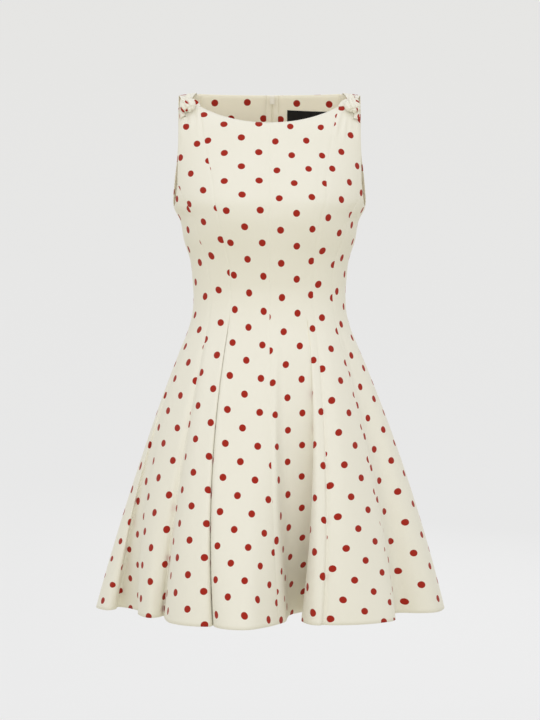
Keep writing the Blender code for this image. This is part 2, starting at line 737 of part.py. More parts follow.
def add_slider(frame, metal):
    """The slider inside the seam, its neck through the open top, and two ears that hold the pin."""
    half = SLIDER_WIDTH / 2
    inside = -(WALL + 2 * LAYER_GAP + TAPE_THICKNESS)
    crown_out = LAYER_GAP + CROWN_THICKNESS
    slider = helper("zip_slider", box((-half, inside - SLIDER_DEPTH, -SLIDER_HEIGHT),
                                      (half, inside, 0.0)), frame)
    slider.hide_render = False
    slider.display_type = "TEXTURED"
    slider.data.materials.append(metal)
    lap = 0.0005
    neck = box((-NECK_WIDTH / 2, inside - lap, NECK_LOW),
               (NECK_WIDTH / 2, crown_out - lap, NECK_HIGH))
    crown = box((-half, LAYER_GAP, NECK_LOW - 0.001), (half, crown_out, NECK_HIGH + 0.001))
    combine(slider, helper("slider_neck", neck, frame), "UNION")
    combine(slider, helper("slider_crown", crown, frame), "UNION")
    for side in (1, -1):
        near, far = sorted((side * EAR_INNER, side * (EAR_INNER + EAR_THICKNESS)))
        ear = box((near, crown_out - lap, PIVOT_UP - PIN_RADIUS - 0.0006),
                  (far, PIVOT_OUT + PIN_RADIUS + 0.0006, PIVOT_UP + PIN_RADIUS + 0.0006))
        combine(slider, helper("slider_ear", ear, frame), "UNION")
    pin = rod(PIN_RADIUS, EAR_INNER + EAR_THICKNESS / 2, PIVOT_OUT, PIVOT_UP)
    combine(slider, helper("slider_pin", pin, frame), "UNION")
    return slider


def tab_outline():
    """Half width of the tab at each distance below the pin, from its knuckle to its round end."""
    round_start = TAB_LENGTH - TAB_WIDTH / 2
    outline = [(KNUCKLE_HALF * 0.9, KNUCKLE_RADIUS * 0.5), (KNUCKLE_HALF * 0.7, 0.006),
               (TAB_WIDTH / 2, round_start)]
    for k in range(1, 6):
        angle = math.radians(18 * k)
        outline.append((TAB_WIDTH / 2 * math.cos(angle),
                        round_start + TAB_WIDTH / 2 * math.sin(angle)))
    return outline


def add_pull_tab(frame, metal):
    """The flat tab on its knuckle. It leans in so that its end rests on the cloth."""
    lean = math.atan2(PIVOT_OUT - TAB_THICKNESS / 2 - TAB_REST, TAB_LENGTH)
    lie = Matrix.Translation((0, PIVOT_OUT, PIVOT_UP)) @ Matrix.Rotation(-lean, 4, "X")
    outline = tab_outline()
    loop = [(x, -z) for x, z in outline] + [(-x, -z) for x, z in reversed(outline[:-1])]
    bm = bmesh.new()
    face = bm.faces.new([bm.verts.new(lie @ Vector((x, -TAB_THICKNESS / 2, z))) for x, z in loop])
    turned = bmesh.ops.extrude_face_region(bm, geom=[face])["geom"]
    away = lie.to_3x3() @ Vector((0, TAB_THICKNESS, 0))
    bmesh.ops.translate(bm, vec=away, verts=[v for v in turned if isinstance(v, bmesh.types.BMVert)])
    tab = helper("pull_tab", bm, frame)
    tab.hide_render = False
    tab.display_type = "TEXTURED"
    tab.data.materials.append(metal)
    knuckle = rod(KNUCKLE_RADIUS, KNUCKLE_HALF, PIVOT_OUT, PIVOT_UP)
    combine(tab, helper("tab_knuckle", knuckle, frame), "UNION")
    bore = rod(PIN_RADIUS + PIN_CLEARANCE, KNUCKLE_HALF * 2, PIVOT_OUT, PIVOT_UP)
    combine(tab, helper("tab_bore", bore, frame), "DIFFERENCE")
    return tab


def clear_scene():
    for obj in list(bpy.data.objects):
        bpy.data.objects.remove(obj, do_unlink=True)


def main():
    clear_scene()
    cloth = make_material("printed_cloth", CREAM, 0.85)
    inside_cloth = make_material("facing_cloth", CREAM_INSIDE, 0.85)
    tape = make_material("zip_tape", ZIP_CREAM, 0.8)
    label = make_material("label_weave", LABEL_BLACK, 0.6)
    grids = add_gores(cloth)
    add_back_lining(grids, inside_cloth, tape, label)
    add_ties(grids, cloth)
    frame = zip_frame(grids)
    metal = make_material("painted_zip_metal", ZIP_CREAM, 0.4, 0.3)
    add_slider(frame, metal)
    add_pull_tab(frame, metal)


main()
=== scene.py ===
"""Looks of the sleeveless a-line dress: printed cloth gores with their folds and creases, shoulder
ties, neck facing, bare label and back zip, on a pale studio sweep.

Metres, +Z up. The front faces -Y and +X is the wearer's left. Angles go round the dress from the
centre front: 90 is the wearer's left side, 180 the centre back.
"""

import math

import bmesh
import bpy
import numpy as np
from mathutils import Matrix, Vector


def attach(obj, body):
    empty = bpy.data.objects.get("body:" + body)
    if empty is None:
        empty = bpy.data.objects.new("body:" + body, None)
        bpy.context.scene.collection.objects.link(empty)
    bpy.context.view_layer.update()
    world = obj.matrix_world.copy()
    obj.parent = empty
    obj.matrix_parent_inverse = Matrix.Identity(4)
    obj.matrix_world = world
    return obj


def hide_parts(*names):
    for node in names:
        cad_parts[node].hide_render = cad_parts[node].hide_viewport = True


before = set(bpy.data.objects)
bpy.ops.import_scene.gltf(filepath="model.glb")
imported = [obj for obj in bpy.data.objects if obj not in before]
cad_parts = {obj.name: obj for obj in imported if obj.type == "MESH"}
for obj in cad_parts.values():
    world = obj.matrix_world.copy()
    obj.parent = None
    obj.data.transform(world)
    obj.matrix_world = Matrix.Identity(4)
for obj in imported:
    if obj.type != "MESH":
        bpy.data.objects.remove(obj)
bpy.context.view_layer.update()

# Cloth, and its turned-up hem (the share of its thickness that this adds, and how fast that
# comes in). How much larger than it measures a cut is stated
CLOTH = 0.0012
LAYER_GAP = 0.0002
HEM_DEPTH = 0.020
HEM_FOLD = 0.9
HEM_EASE = 6.0

# Heights
FLARE_Z = -0.368
MID_Z = -0.561
HEM_Z = -0.8415
FRONT_JOIN_Z = -0.146
BACK_JOIN_Z = -0.120
UNDERARM_Z = -0.182
# Between these heights a gore's top edge is looked for, by halving
TOP_EDGE_LOW = -0.200
TOP_EDGE_HIGH = 0.020
TOP_EDGE_HALVINGS = 40

# Necklines
FRONT_NECK_Z = -0.0485
FRONT_NECK_RISE = 0.030
FRONT_NECK_HALF = 0.1135
FRONT_NECK_POWER = 2.2
STRAP_SLOPE = 0.10
BACK_NECK_Z = 0.010
BACK_NECK_HALF = 0.118
BACK_STRAP_DROP = 0.20

# Armholes: where each curve leaves its seam, and how fast it levels out under the arm
FRONT_ARM_DEG = 69.5
FRONT_ARM_POWER = 6.0
BACK_ARM_DEG = 103.5
BACK_ARM_POWER = 1.46

# Cross-section and bust
SECTION_POWER = 2.2
BUST_SWELL = 0.010
BUST_X = 0.082
BUST_Z = -0.190
BUST_SPREAD = 0.046

# The bodice's sections: height, half width, depth in front of the middle, depth behind it
BODICE = (
    (0.030, 0.1560, -0.004, 0.046),
    (0.010, 0.1580, 0.008, 0.055),
    (-0.015, 0.1590, 0.026, 0.064),
    (-0.050, 0.1600, 0.056, 0.076),
    (-0.100, 0.1608, 0.083, 0.090),
    (-0.145, 0.1605, 0.105, 0.097),
    (-0.172, 0.1598, 0.116, 0.098),
    (-0.184, 0.1572, 0.120, 0.098),
    (-0.203, 0.1475, 0.121, 0.096),
    (-0.236, 0.1410, 0.115, 0.090),
    (-0.270, 0.1305, 0.105, 0.083),
    (-0.302, 0.1268, 0.097, 0.078),
    (-0.327, 0.1252, 0.093, 0.076),
    (-0.368, 0.1268, 0.096, 0.082),
)

# Seams down the bodice: the height, then each seam's angle in degrees
FRONT_SEAM_NAMES = ("princess_left", "princess_right", "side_front_left", "side_front_right")
FRONT_SEAMS = (
    (0.030, 45.6, 45.6, 68.2, 68.2),
    (-0.018, 45.4, 45.4, 68.6, 68.6),
    (-0.050, 41.2, 43.4, 68.6, 68.6),
    (-0.109, 36.4, 38.0, 68.8, 68.8),
    (-0.146, 34.8, 34.8, 69.5, 69.5),
    (-0.156, 34.9, 34.2, 67.4, 66.0),
    (-0.182, 35.0, 33.6, 63.6, 58.4),
    (-0.212, 34.0, 33.6, 61.6, 56.4),
    (-0.247, 33.2, 31.8, 57.4, 53.2),
    (-0.289, 33.6, 30.2, 54.2, 51.0),
    (-0.330, 34.2, 30.0, 54.8, 49.6),
    (-0.368, 35.0, 30.0, 56.0, 50.0),
)
BACK_SEAMS = (
    # height, side-back seam on either side, centre back
    (0.030, 107.0, 178.4),
    (0.005, 107.2, 178.4),
    (-0.060, 108.2, 178.5),
    (-0.102, 106.3, 178.7),
    (-0.120, 103.5, 178.8),
    (-0.140, 111.5, 179.0),
    (-0.170, 122.0, 179.2),
    (-0.210, 132.5, 179.4),
    (-0.260, 140.5, 179.7),
    (-0.320, 146.0, 180.0),
    (-0.368, 148.0, 180.0),
)

# Folds of the skirt, once round from the centre front: name, angle at the flare, place on the
# ring at mid height (x, y) and on the hem (x, y)
FOLDS = (
    ("centre_front", 0.0, 0.002, -0.177, 0.0150, -0.205),
    ("front_flute_turn", 5.0, 0.0095, -0.176, 0.0250, -0.180),
    ("front_valley_wall", 9.5, 0.0180, -0.164, 0.0278, -0.140),
    ("front_valley_start", 13.5, 0.0280, -0.157, 0.0325, -0.104),
    ("front_valley", 20.0, 0.0470, -0.149, 0.0440, -0.078),
    ("front_valley_end", 27.0, 0.0700, -0.140, 0.0630, -0.056),
    ("narrow_flute_wall", 28.4, 0.0740, -0.147, 0.0650, -0.112),
    ("narrow_flute_edge", 29.6, 0.0685, -0.159, 0.0495, -0.166),
    ("narrow_flute", 31.6, 0.0755, -0.166, 0.0640, -0.212),
    ("narrow_flute_end", 33.8, 0.0845, -0.163, 0.0780, -0.219),
    ("princess_left", 35.0, 0.0872, -0.1602, 0.0834, -0.2125),
    ("left_front_turn", 37.0, 0.0930, -0.161, 0.0915, -0.2155),
    ("left_front_flute", 41.5, 0.1080, -0.158, 0.110, -0.216),
    ("left_front_crest", 48.0, 0.128, -0.142, 0.146, -0.206),
    ("side_front_left", 56.0, 0.1515, -0.110, 0.1945, -0.166),
    ("left_side_wall", 60.0, 0.157, -0.092, 0.1985, -0.116),
    ("left_side_valley", 65.0, 0.169, -0.078, 0.2065, -0.072),
    ("left_side_flute", 75.0, 0.189, -0.065, 0.2420, -0.074),
    ("left_side_turn", 82.5, 0.200, -0.044, 0.2700, -0.062),
    ("side_left", 90.0, 0.2035, 0.000, 0.2885, 0.006),
    ("left_hip_flute", 98.0, 0.198, 0.034, 0.270, 0.058),
    ("left_hip_valley", 106.0, 0.180, 0.058, 0.219, 0.066),
    ("left_back_flute", 115.0, 0.169, 0.094, 0.222, 0.144),
    ("left_back_crest", 124.0, 0.147, 0.122, 0.176, 0.192),
    ("left_back_valley", 133.0, 0.122, 0.132, 0.134, 0.138),
    ("left_back_wall", 141.0, 0.105, 0.152, 0.118, 0.214),
    ("side_back_left", 148.0, 0.083, 0.160, 0.084, 0.196),
    ("back_flute_left", 158.0, 0.056, 0.175, 0.056, 0.244),
    ("back_valley_left", 169.0, 0.028, 0.168, 0.022, 0.184),
    ("centre_back", 180.0, 0.000, 0.176, -0.011, 0.234),
    ("back_flute_right", 190.0, -0.029, 0.177, -0.046, 0.240),
    ("back_valley_right", 201.0, -0.058, 0.165, -0.064, 0.178),
    ("side_back_right", 212.0, -0.086, 0.162, -0.090, 0.224),
    ("right_back_crest", 221.0, -0.111, 0.150, -0.130, 0.220),
    ("right_back_valley", 230.0, -0.134, 0.128, -0.142, 0.140),
    ("right_back_flute", 240.0, -0.158, 0.110, -0.190, 0.176),
    ("right_hip_crest", 250.0, -0.178, 0.075, -0.234, 0.126),
    ("right_hip_valley", 259.0, -0.189, 0.045, -0.226, 0.056),
    ("right_hip_flute", 265.0, -0.197, 0.022, -0.268, 0.046),
    ("side_right", 270.0, -0.1995, 0.000, -0.2865, 0.002),
    ("right_side_flute", 274.5, -0.198, -0.018, -0.2640, -0.037),
    ("right_side_flute_edge", 277.5, -0.1940, -0.034, -0.2530, -0.030),
    ("right_side_valley_edge", 280.5, -0.1905, -0.036, -0.2490, 0.002),
    ("right_side_valley", 284.0, -0.1860, -0.047, -0.2300, -0.016),
    ("second_flute_wall", 288.0, -0.1815, -0.060, -0.2110, -0.052),
    ("second_flute_edge", 292.0, -0.1765, -0.075, -0.2105, -0.092),
    ("second_flute", 299.0, -0.160, -0.100, -0.190, -0.133),
    ("second_flute_end", 305.5, -0.143, -0.118, -0.1745, -0.124),
    ("side_front_right", 310.0, -0.133, -0.121, -0.1690, -0.112),
    ("third_flute_edge", 312.5, -0.128, -0.137, -0.1655, -0.140),
    ("third_flute_turn", 316.0, -0.118, -0.153, -0.1550, -0.190),
    ("third_flute", 321.5, -0.105, -0.163, -0.125, -0.224),
    ("third_flute_end", 328.3, -0.0886, -0.172, -0.0908, -0.232),
    ("princess_right", 330.0, -0.0853, -0.147, -0.0868, -0.168),
    ("front_flute_edge", 331.6, -0.0820, -0.177, -0.0830, -0.240),
    ("front_flute_left", 340.0, -0.058, -0.178, -0.062, -0.264),
    ("front_flute", 350.0, -0.029, -0.179, -0.032, -0.268),
    ("front_flute_right", 356.0, -0.010, -0.179, -0.004, -0.238),
)

# Gores from the front to the back, and how finely their grids are cut. Two more ribs lie beside each
# seam, at these shares of the step to the next rib.
GORES = ("centre_front", "mid_front", "side_front", "side_back", "centre_back")
SIDES = ((1, "_l"), (-1, "_r"))
RIBS_PER_UNIT = 36.0
RIBS_BY_SEAM = (0.15, 0.45)
UPPER_ROWS = 22
BODICE_ROWS = 44
SKIRT_ROWS = 84
WAIST_SOFTEN = 0.030
WAIST_PASSES = 30
UNROLL_PASSES = 12
EDGE_ROUNDING = 0.3

# Seams: a shallow groove with a faint pucker along it, whose spacing drifts
GROOVE_DEPTH = 0.0004
GROOVE_WIDTH = 0.0022
PUCKER_DEPTH = 0.00014
PUCKER_LENGTH = 0.011
PUCKER_REACH = 0.008
PUCKER_DRIFT = 1.7
PUCKER_DRIFT_LENGTH = 0.05

# How a crease rises along its length, its strength at its ends, and how far past them it runs
CREASE_RISE = 3.0
CREASE_ENDS = 0.15
CREASE_OVERRUN = 0.05
# Creases pressed or pulled into the front: start x z, end x z, sideways bow, half width, and height
# out of the cloth, negative for a trough
CREASES = (
    # gathers below the wearer's right knot
    (-0.1237, -0.020, -0.1203, -0.053, 0.001, 0.0030, -0.0015),
    (-0.1160, -0.027, -0.1093, -0.075, 0.001, 0.0034, -0.0011),
    (-0.1195, -0.022, -0.1150, -0.064, 0.001, 0.0028, 0.0011),
    (-0.1290, -0.026, -0.1285, -0.060, 0.000, 0.0030, 0.0010),
    (-0.1345, -0.028, -0.1362, -0.062, 0.000, 0.0030, -0.0009),
    (-0.1410, -0.028, -0.1440, -0.074, 0.000, 0.0032, 0.0008),
    # gathers below the wearer's left knot
    (0.1229, -0.030, 0.1130, -0.075, -0.001, 0.0032, -0.0016),
    (0.1180, -0.024, 0.1070, -0.070, -0.001, 0.0030, 0.0011),
    (0.1285, -0.034, 0.1262, -0.078, 0.000, 0.0034, -0.0011),
    (0.1260, -0.034, 0.1200, -0.080, 0.000, 0.0026, 0.0010),
    (0.1370, -0.036, 0.1390, -0.072, 0.000, 0.0032, -0.0009),
    (0.1430, -0.036, 0.1460, -0.082, 0.000, 0.0030, 0.0008),
    # underarm creases
    (-0.1490, -0.176, -0.1250, -0.193, 0.002, 0.0045, -0.0011),
    (-0.1450, -0.196, -0.1230, -0.206, 0.002, 0.0045, -0.0009),
    (0.1500, -0.178, 0.1260, -0.200, -0.002, 0.0050, -0.0012),
    (0.1440, -0.204, 0.1220, -0.216, -0.002, 0.0045, -0.0008),
)

# Facing, zip tapes and label, with the rows of the centre back gore that each covers. The facing
# keeps the gore's ribs that lie more than this many times the tape's reach from the centre back.
FACING_THICKNESS = 0.0008
FACING_ROWS = 16
FACING_CLEARANCE = 1.2
TAPE_START = 0.0001
TAPE_WIDTH = 0.0098
TAPE_THICKNESS = 0.0006
TAPE_ROWS = UPPER_ROWS + 37
TAPE_RIBS = 9
LABEL_START = 0.0255
LABEL_WIDTH = 0.070
LABEL_TOP_Z = -0.0142
LABEL_FALL = 0.004
LABEL_HEIGHT = 0.025
LABEL_THICKNESS = 0.0005
LABEL_ROWS = 17
LABEL_RIBS = 57

# Zip teeth: how far in from the centre back they run, and from the top and the bottom of the tape
TOOTH_SIZE = (0.0024, 0.0010, 0.0009)
TOOTH_BEVEL = 0.0003
TOOTH_LIFT = 0.0003
TOOTH_PITCH = 0.0016
TEETH_INSET = 0.0014
TEETH_START = 0.006
TEETH_END = 0.004

# Shoulder ties, placed for the wearer's left and mirrored for the right
STRAPS_MEET = (0.1370, -0.0060, -0.0030)
STRAP_END_WIDTH = 0.017
STRAP_THICKNESS = 0.0016
FRONT_STRAP_BEND = 0.45
BACK_STRAP_BEND = 0.16
STRAP_STEPS = 16
KNOT_INWARD = {"_l": -0.001, "_r": 0.003}
KNOT_BASE_DOWN = 0.0054
KNOT_RADII = (0.0145, 0.0078, 0.0135)
# The knot stands this many radii off the cloth, is a little square, and is drawn in under its folds
KNOT_STANDOFF = 1.02
KNOT_SQUARENESS = 0.86
KNOT_DRAWN_IN = 0.93
KNOT_RIBS, KNOT_ROWS = 96, 60
# The tie's ends, in the knot's frame: towards the armhole, out of the cloth, up the strap
TAIL_ROUTES = {
    "tail_top_l": ((-0.0020, -0.0010, 0.0132), (-0.0010, -0.0010, 0.0180),
                   (0.0010, -0.0020, 0.0220)),
    "tail_top_r": ((-0.0010, -0.0010, 0.0132), (0.0000, -0.0010, 0.0180),
                   (0.0020, -0.0020, 0.0220)),
    "tail_side_l": ((0.0076, -0.0042, -0.0095), (0.0088, -0.0050, -0.0160),
                    (0.0084, -0.0058, -0.0215)),
    "tail_side_r": ((0.0102, -0.0046, -0.0085), (0.0112, -0.0056, -0.0135),
                    (0.0100, -0.0068, -0.0170)),
}
TAIL_START, TAIL_END, TAIL_THICKNESS = 0.0075, 0.0110, 0.0036
TAIL_RIBS, TAIL_STEPS = 40, 14
# The cut end: where it begins, how far it thins and narrows, its pleat and how uneven it is
TAIL_TIP = 0.9
TAIL_TIP_THINNING = 0.9
TAIL_TIP_NARROWING = 0.03
TAIL_PLEAT = 0.0007
TAIL_CUT_WAVE = 0.0008
TAIL_PRINT_EASE = 1.2

# Pleats of the straps: place across, its drift along the strap, half width, height. They rise this
# fast from a share of their height at the gore.
PLEAT_RISE = 2.5
PLEAT_START = 0.12
FRONT_PLEATS = {
    "_l": ((0.10, 0.05, 0.06, 0.0009), (0.30, 0.04, 0.05, 0.0013), (0.50, 0.00, 0.05, 0.0011),
           (0.68, -0.03, 0.05, 0.0014), (0.88, -0.04, 0.05, 0.0009)),
    "_r": ((0.12, 0.04, 0.06, 0.0010), (0.33, 0.03, 0.05, 0.0012), (0.54, 0.00, 0.05, 0.0014),
           (0.72, -0.03, 0.05, 0.0011), (0.90, -0.04, 0.05, 0.0008)),
}
BACK_PLEATS = ((0.14, 0.03, 0.06, 0.0010), (0.38, 0.02, 0.06, 0.0013), (0.62, -0.02, 0.06, 0.0012),
               (0.86, -0.03, 0.06, 0.0009))

# Folds of the knots: the plane that cuts each (a direction in the knot's frame and how far along
# it), half width, and height, negative for the crease between two bands
KNOT_FOLDS = {
    "_l": (((0.94, 0.10, 0.33), -0.36, 0.070, -0.0022), ((0.94, 0.10, 0.33), 0.18, 0.070, -0.0020),
           ((0.94, 0.10, 0.33), 0.00, 0.300, 0.0009), ((0.50, 0.00, -0.86), 0.62, 0.080, -0.0014),
           ((0.25, 0.20, 0.95), 0.66, 0.090, -0.0014), ((0.90, 0.00, 0.44), -0.68, 0.060, -0.0008)),
    "_r": (((0.90, 0.10, -0.42), -0.10, 0.070, -0.0021), ((0.90, 0.10, -0.42), 0.38, 0.070, -0.0022),
           ((0.90, 0.10, -0.42), 0.14, 0.200, 0.0009), ((0.40, 0.00, 0.92), 0.60, 0.080, -0.0014),
           ((-0.42, 0.10, -0.90), 0.78, 0.090, -0.0015), ((0.85, 0.00, -0.52), 0.76, 0.060, -0.0008)),
}
# Dots on the knots: the creases that each lies beyond, and its middle's place on the knot
KNOT_DOTS = {
    "_l": (((0, 1, 2, 4), 0.0020, -0.0103), ((0, 1, 3, 4), 0.0100, 0.0080)),
    "_r": (((0,), -0.0037, 0.0034), ((0, 1, 4), 0.0051, -0.0060), ((0, 1, 3), 0.0020, -0.0094)),
}
PLAIN_PLACE = (0.0275, 0.0)
TAIL_PRINT = {"tail_top_l": (-0.0096, -0.0105), "tail_top_r": (0.0275, 0.0),
              "tail_side_l": (0.0060, -0.0080), "tail_side_r": (0.0096, -0.0040)}

# Print: dots on the corners and in the middle of squares of this repeat
DOT_REPEAT = 0.055
DOT_RADIUS = 0.0059
DOT_SOFTNESS = 0.00035
DOT_UNEVENNESS = 0.0005
DOT_NOISE = 900.0

# Where each panel lies on the print, down its middle: height on the flat pattern, the print's drift
# right and up in metres, its turn in degrees, and how far it is eased across
PRINT_PLACES = {
    "centre_front_l": (
        (0.39, 0.046, 0.017, -11, 0.12), (0.30, 0.025, 0.017, -13, 0.08),
        (0.20, 0.005, 0.015, -9, 0.06), (0.09, -0.007, 0.016, -8, 0.14),
        (-0.03, -0.010, 0.019, -9, 0.13), (-0.10, -0.007, 0.021, -4, 0.14),
        (-0.20, -0.001, 0.016, 2, 0.08), (-0.30, 0.000, 0.009, -1, -0.04),
        (-0.39, -0.002, 0.003, 4, -0.08),
    ),
    "centre_front_r": (
        (0.40, -0.017, 0.017, 8, 0.00), (0.30, -0.008, 0.018, 7, -0.02),
        (0.20, -0.005, 0.013, 5, 0.05), (0.10, -0.003, 0.012, 4, 0.17),
        (0.00, -0.005, 0.016, 3, 0.14), (-0.10, -0.009, 0.021, 2, 0.08),
        (-0.20, -0.010, 0.022, 3, 0.10), (-0.30, -0.003, 0.020, 5, 0.12),
        (-0.40, 0.011, 0.013, 7, 0.14),
    ),
    "mid_front_l": (
        (0.43, 0.097, -0.015, -24, 0.05), (0.30, 0.051, -0.010, -24, 0.05),
        (0.20, 0.018, -0.005, -17, 0.00), (0.10, 0.008, -0.004, -13, 0.00),
        (0.00, 0.000, -0.003, -15, 0.00), (-0.10, -0.011, -0.001, -17, -0.06),
        (-0.20, -0.017, -0.003, -15, -0.10), (-0.30, -0.034, -0.008, -16, -0.09),
        (-0.38, -0.056, -0.012, -19, -0.06), (-0.44, -0.081, -0.015, -21, -0.03),
    ),
    "mid_front_r": (
        (0.40, -0.021, -0.031, 28, 0.00), (0.30, 0.008, -0.027, 26, 0.00),
        (0.25, 0.018, -0.026, 27, 0.00), (0.20, 0.030, -0.025, 18, 0.00),
        (0.14, 0.031, -0.021, 5, 0.00), (0.04, 0.021, -0.022, 4, 0.00),
        (-0.06, 0.015, -0.016, 5, 0.00), (-0.15, 0.008, -0.014, 6, 0.00),
        (-0.25, 0.001, -0.017, 3, -0.08), (-0.35, -0.003, -0.022, -1, -0.03),
        (-0.43, -0.007, -0.027, -6, 0.00),
    ),
    "side_front_l": (
        (0.20, -0.012, 0.025, -8, 0.20), (0.10, -0.017, 0.023, -8, 0.20),
        (0.00, -0.011, 0.020, -7, 0.15), (-0.10, -0.008, 0.014, -5, -0.05),
        (-0.20, -0.007, 0.006, -3, -0.22), (-0.30, -0.019, -0.003, 0, -0.18),
        (-0.38, -0.029, -0.010, 5, -0.16),
    ),
    "side_front_r": (
        (0.30, 0.058, -0.021, 0, 0.00), (0.20, 0.050, -0.018, -3, 0.00),
        (0.10, 0.051, -0.018, -5, 0.00), (0.00, 0.044, -0.017, -3, -0.10),
        (-0.06, 0.030, -0.017, -6, -0.18), (-0.11, 0.015, -0.015, -10, -0.10),
        (-0.16, 0.002, -0.008, -15, -0.05), (-0.21, -0.013, -0.003, -18, 0.00),
        (-0.26, -0.026, -0.002, -17, 0.00), (-0.31, -0.039, -0.007, -14, -0.04),
        (-0.36, -0.050, -0.012, -10, 0.00),
    ),
    "back_facing_l": ((0.02, 0.004, -0.008, 0, 0.0), (-0.02, 0.004, -0.008, 0, 0.0)),
    "back_facing_r": ((0.02, 0.001, -0.010, 0, 0.0), (-0.02, 0.001, -0.010, 0, 0.0)),
    "strap_front_r": ((0.02, -0.013, -0.005, 0, 0.0), (-0.02, -0.013, -0.005, 0, 0.0)),
    "side_back_l": ((0.30, 0.009, 0.012, -6, 0.0), (-0.30, 0.009, 0.012, -6, 0.0)),
    "side_back_r": ((0.30, 0.021, 0.004, 7, 0.0), (-0.30, 0.021, 0.004, 7, 0.0)),
    "centre_back_l": ((0.30, 0.016, 0.020, 3, 0.0), (-0.30, 0.016, 0.020, 3, 0.0)),
    "centre_back_r": ((0.30, -0.012, 0.007, -3, 0.0), (-0.30, -0.012, 0.007, -3, 0.0)),
}

# Crepe: its threads, the scales of its grain, soft relief and broad shading, the shares of threads,
# grain and soft relief in its height, and those of grain and broad shading in its shade
THREAD_PITCH = 0.0005
THREAD_WANDER = {"Distortion": 2.5, "Detail": 1.0, "Detail Scale": 0.6}
CREPE_GRAIN, CREPE_SOFT, CREPE_BROAD = 1800.0, 90.0, 14.0
CREPE_HEIGHTS = (0.35, 0.65, 0.5)
CREPE_SHADES = (0.35, 0.5)
# Twills: thread scale, grain scale, and the grain's share in the height
SATIN_WEAVE = (900.0, 1500.0, 0.5)
TAPE_WEAVE = (420.0, 2200.0, 0.4)
ENAMEL_GRAIN = 700.0
PAPER_GRAIN = 3.0

# Finishes, and the depth and strength of each one's relief
CREPE_FINISH = {"Roughness": 0.86, "Sheen Weight": 0.12, "Sheen Roughness": 0.5,
                "Specular IOR Level": 0.25}
CREPE_RELIEF = (0.00012, 0.7)
SATIN_FINISH = {"Roughness": 0.38, "Sheen Weight": 0.05, "Specular IOR Level": 0.2}
SATIN_RELIEF = (0.00008, 0.6)
TAPE_FINISH = {"Roughness": 0.8}
TAPE_RELIEF = (0.00015, 0.7)
ENAMEL_FINISH = {"Roughness": 0.38, "Coat Weight": 0.4, "Coat Roughness": 0.15}
ENAMEL_ROUGHNESS = (0.30, 0.50)
ENAMEL_RELIEF = (0.00005, 0.5)
PAPER_FINISH = {"Roughness": 0.95, "Emission Color": (1.0, 1.0, 1.0, 1.0),
                "Emission Strength": 0.556, "Specular IOR Level": 0.0}

# Colours, darker then lighter. A printed cloth has those of its ground, then those of its dots.
CREPE_COLOURS = ((0.842, 0.820, 0.732), (0.872, 0.855, 0.775),
                 (0.338, 0.013, 0.004), (0.392, 0.016, 0.005))
# Wrong side: the print's paler back; its ground painted lighter and warmer, as painted inner light
WRONG_SIDE_AND_PAINTED_LIGHT_COLOURS = ((0.905, 0.860, 0.725), (0.930, 0.890, 0.760),
                      (0.470, 0.140, 0.100), (0.520, 0.170, 0.120))
# Facing: the same crepe, its ground painted lighter and warmer to lift the shade in the back neck
FACING_PAINTED_LIGHT_COLOURS = ((0.910, 0.864, 0.722), (0.935, 0.892, 0.755),
                  (0.318, 0.013, 0.005), (0.378, 0.016, 0.006))
LABEL_COLOURS = ((0.004, 0.004, 0.004), (0.009, 0.009, 0.010))
# Zip tape: its own cream, painted lighter still to lift the shade it lies in under the neck
TAPE_AND_PAINTED_LIGHT_COLOURS = ((0.92, 0.875, 0.735), (0.95, 0.915, 0.790))
# Enamel: its own cream, painted lighter still to lift the shade at the back neck
ENAMEL_AND_PAINTED_LIGHT_COLOURS = ((0.93, 0.885, 0.785), (0.96, 0.935, 0.860))
PAPER_COLOURS = ((0.300, 0.302, 0.306), (0.306, 0.308, 0.312))

# Studio: the paper runs back to BACKDROP_Y, then sweeps up
FLOOR_Z = -1.40
FLOOR_WIDTH = 50.0
FLOOR_LENGTH = 30.2
BACKDROP_Y = 5.2
BACKDROP_RISE = 6.0
NEAR = 0.01
SWEEP_RADIUS = 3.0
SWEEP_SEGMENTS = 32
WORLD_STRENGTH = 0.83
WORLD_BELOW = (0.76, 0.72, 0.55)
WORLD_ABOVE = (1.0, 0.995, 0.985)
WORLD_RISE = (-0.55, 0.45)
CAMERA_PLACE = (0.0008, -3.2, -0.434)
CAMERA_LENS = 96.97
CAMERA_SENSOR = 36.0
CAMERA_CLIP = (0.05, 100.0)
LIGHTS = (
    # name, place, aim, size, power
    ("key", (-0.8, -3.3, 0.2), (0, 0, -0.42), (2.0, 2.0), 11.5),
    ("fill", (0.5, -3.3, 0.0), (0, 0, -0.45), (1.8, 2.0), 8.1),
    ("top", (0.0, -1.4, 2.2), (0, 0, -0.10), (2.4, 1.6), 8.6),
    ("back", (0.6, 3.4, 0.3), (0, 0, -0.42), (2.0, 2.0), 9.0),
)


# ---------------------------------------------------------------- lines and smooth tables


def unit(vectors):
    return vectors / np.linalg.norm(vectors, axis=-1, keepdims=True)


def run(line):
    """Distance of each point of a line from its first, measured along it."""
    return np.concatenate([[0.0], np.cumsum(np.linalg.norm(np.diff(line, axis=0), axis=-1))])


def read_line(line, places, at):
    """Where a line of points passes these places, given the place of each of its points."""
    return np.stack([np.interp(at, places, line[:, axis]) for axis in range(3)], -1)


def curve(t, start, turn, end):
    """A point on the curve from start to end that sets off and arrives by way of turn."""
    return start * (1 - t) ** 2 + turn * 2 * t * (1 - t) + end * t * t


def slopes(knots, values, monotone):
    """Slope at each knot: Catmull-Rom for uneven knots, flattened at turning points if monotone."""
    steps = np.diff(knots)[:, None]
    rates = np.diff(values, axis=0) / steps
    inner = (rates[:-1] * steps[1:] + rates[1:] * steps[:-1]) / (steps[:-1] + steps[1:])
    if monotone:
        low = 3 * np.minimum(abs(rates[:-1]), abs(rates[1:]))
        inner = np.where(rates[:-1] * rates[1:] > 0, np.clip(inner, -low, low), 0.0)
    return np.concatenate([rates[:1], inner, rates[-1:]])


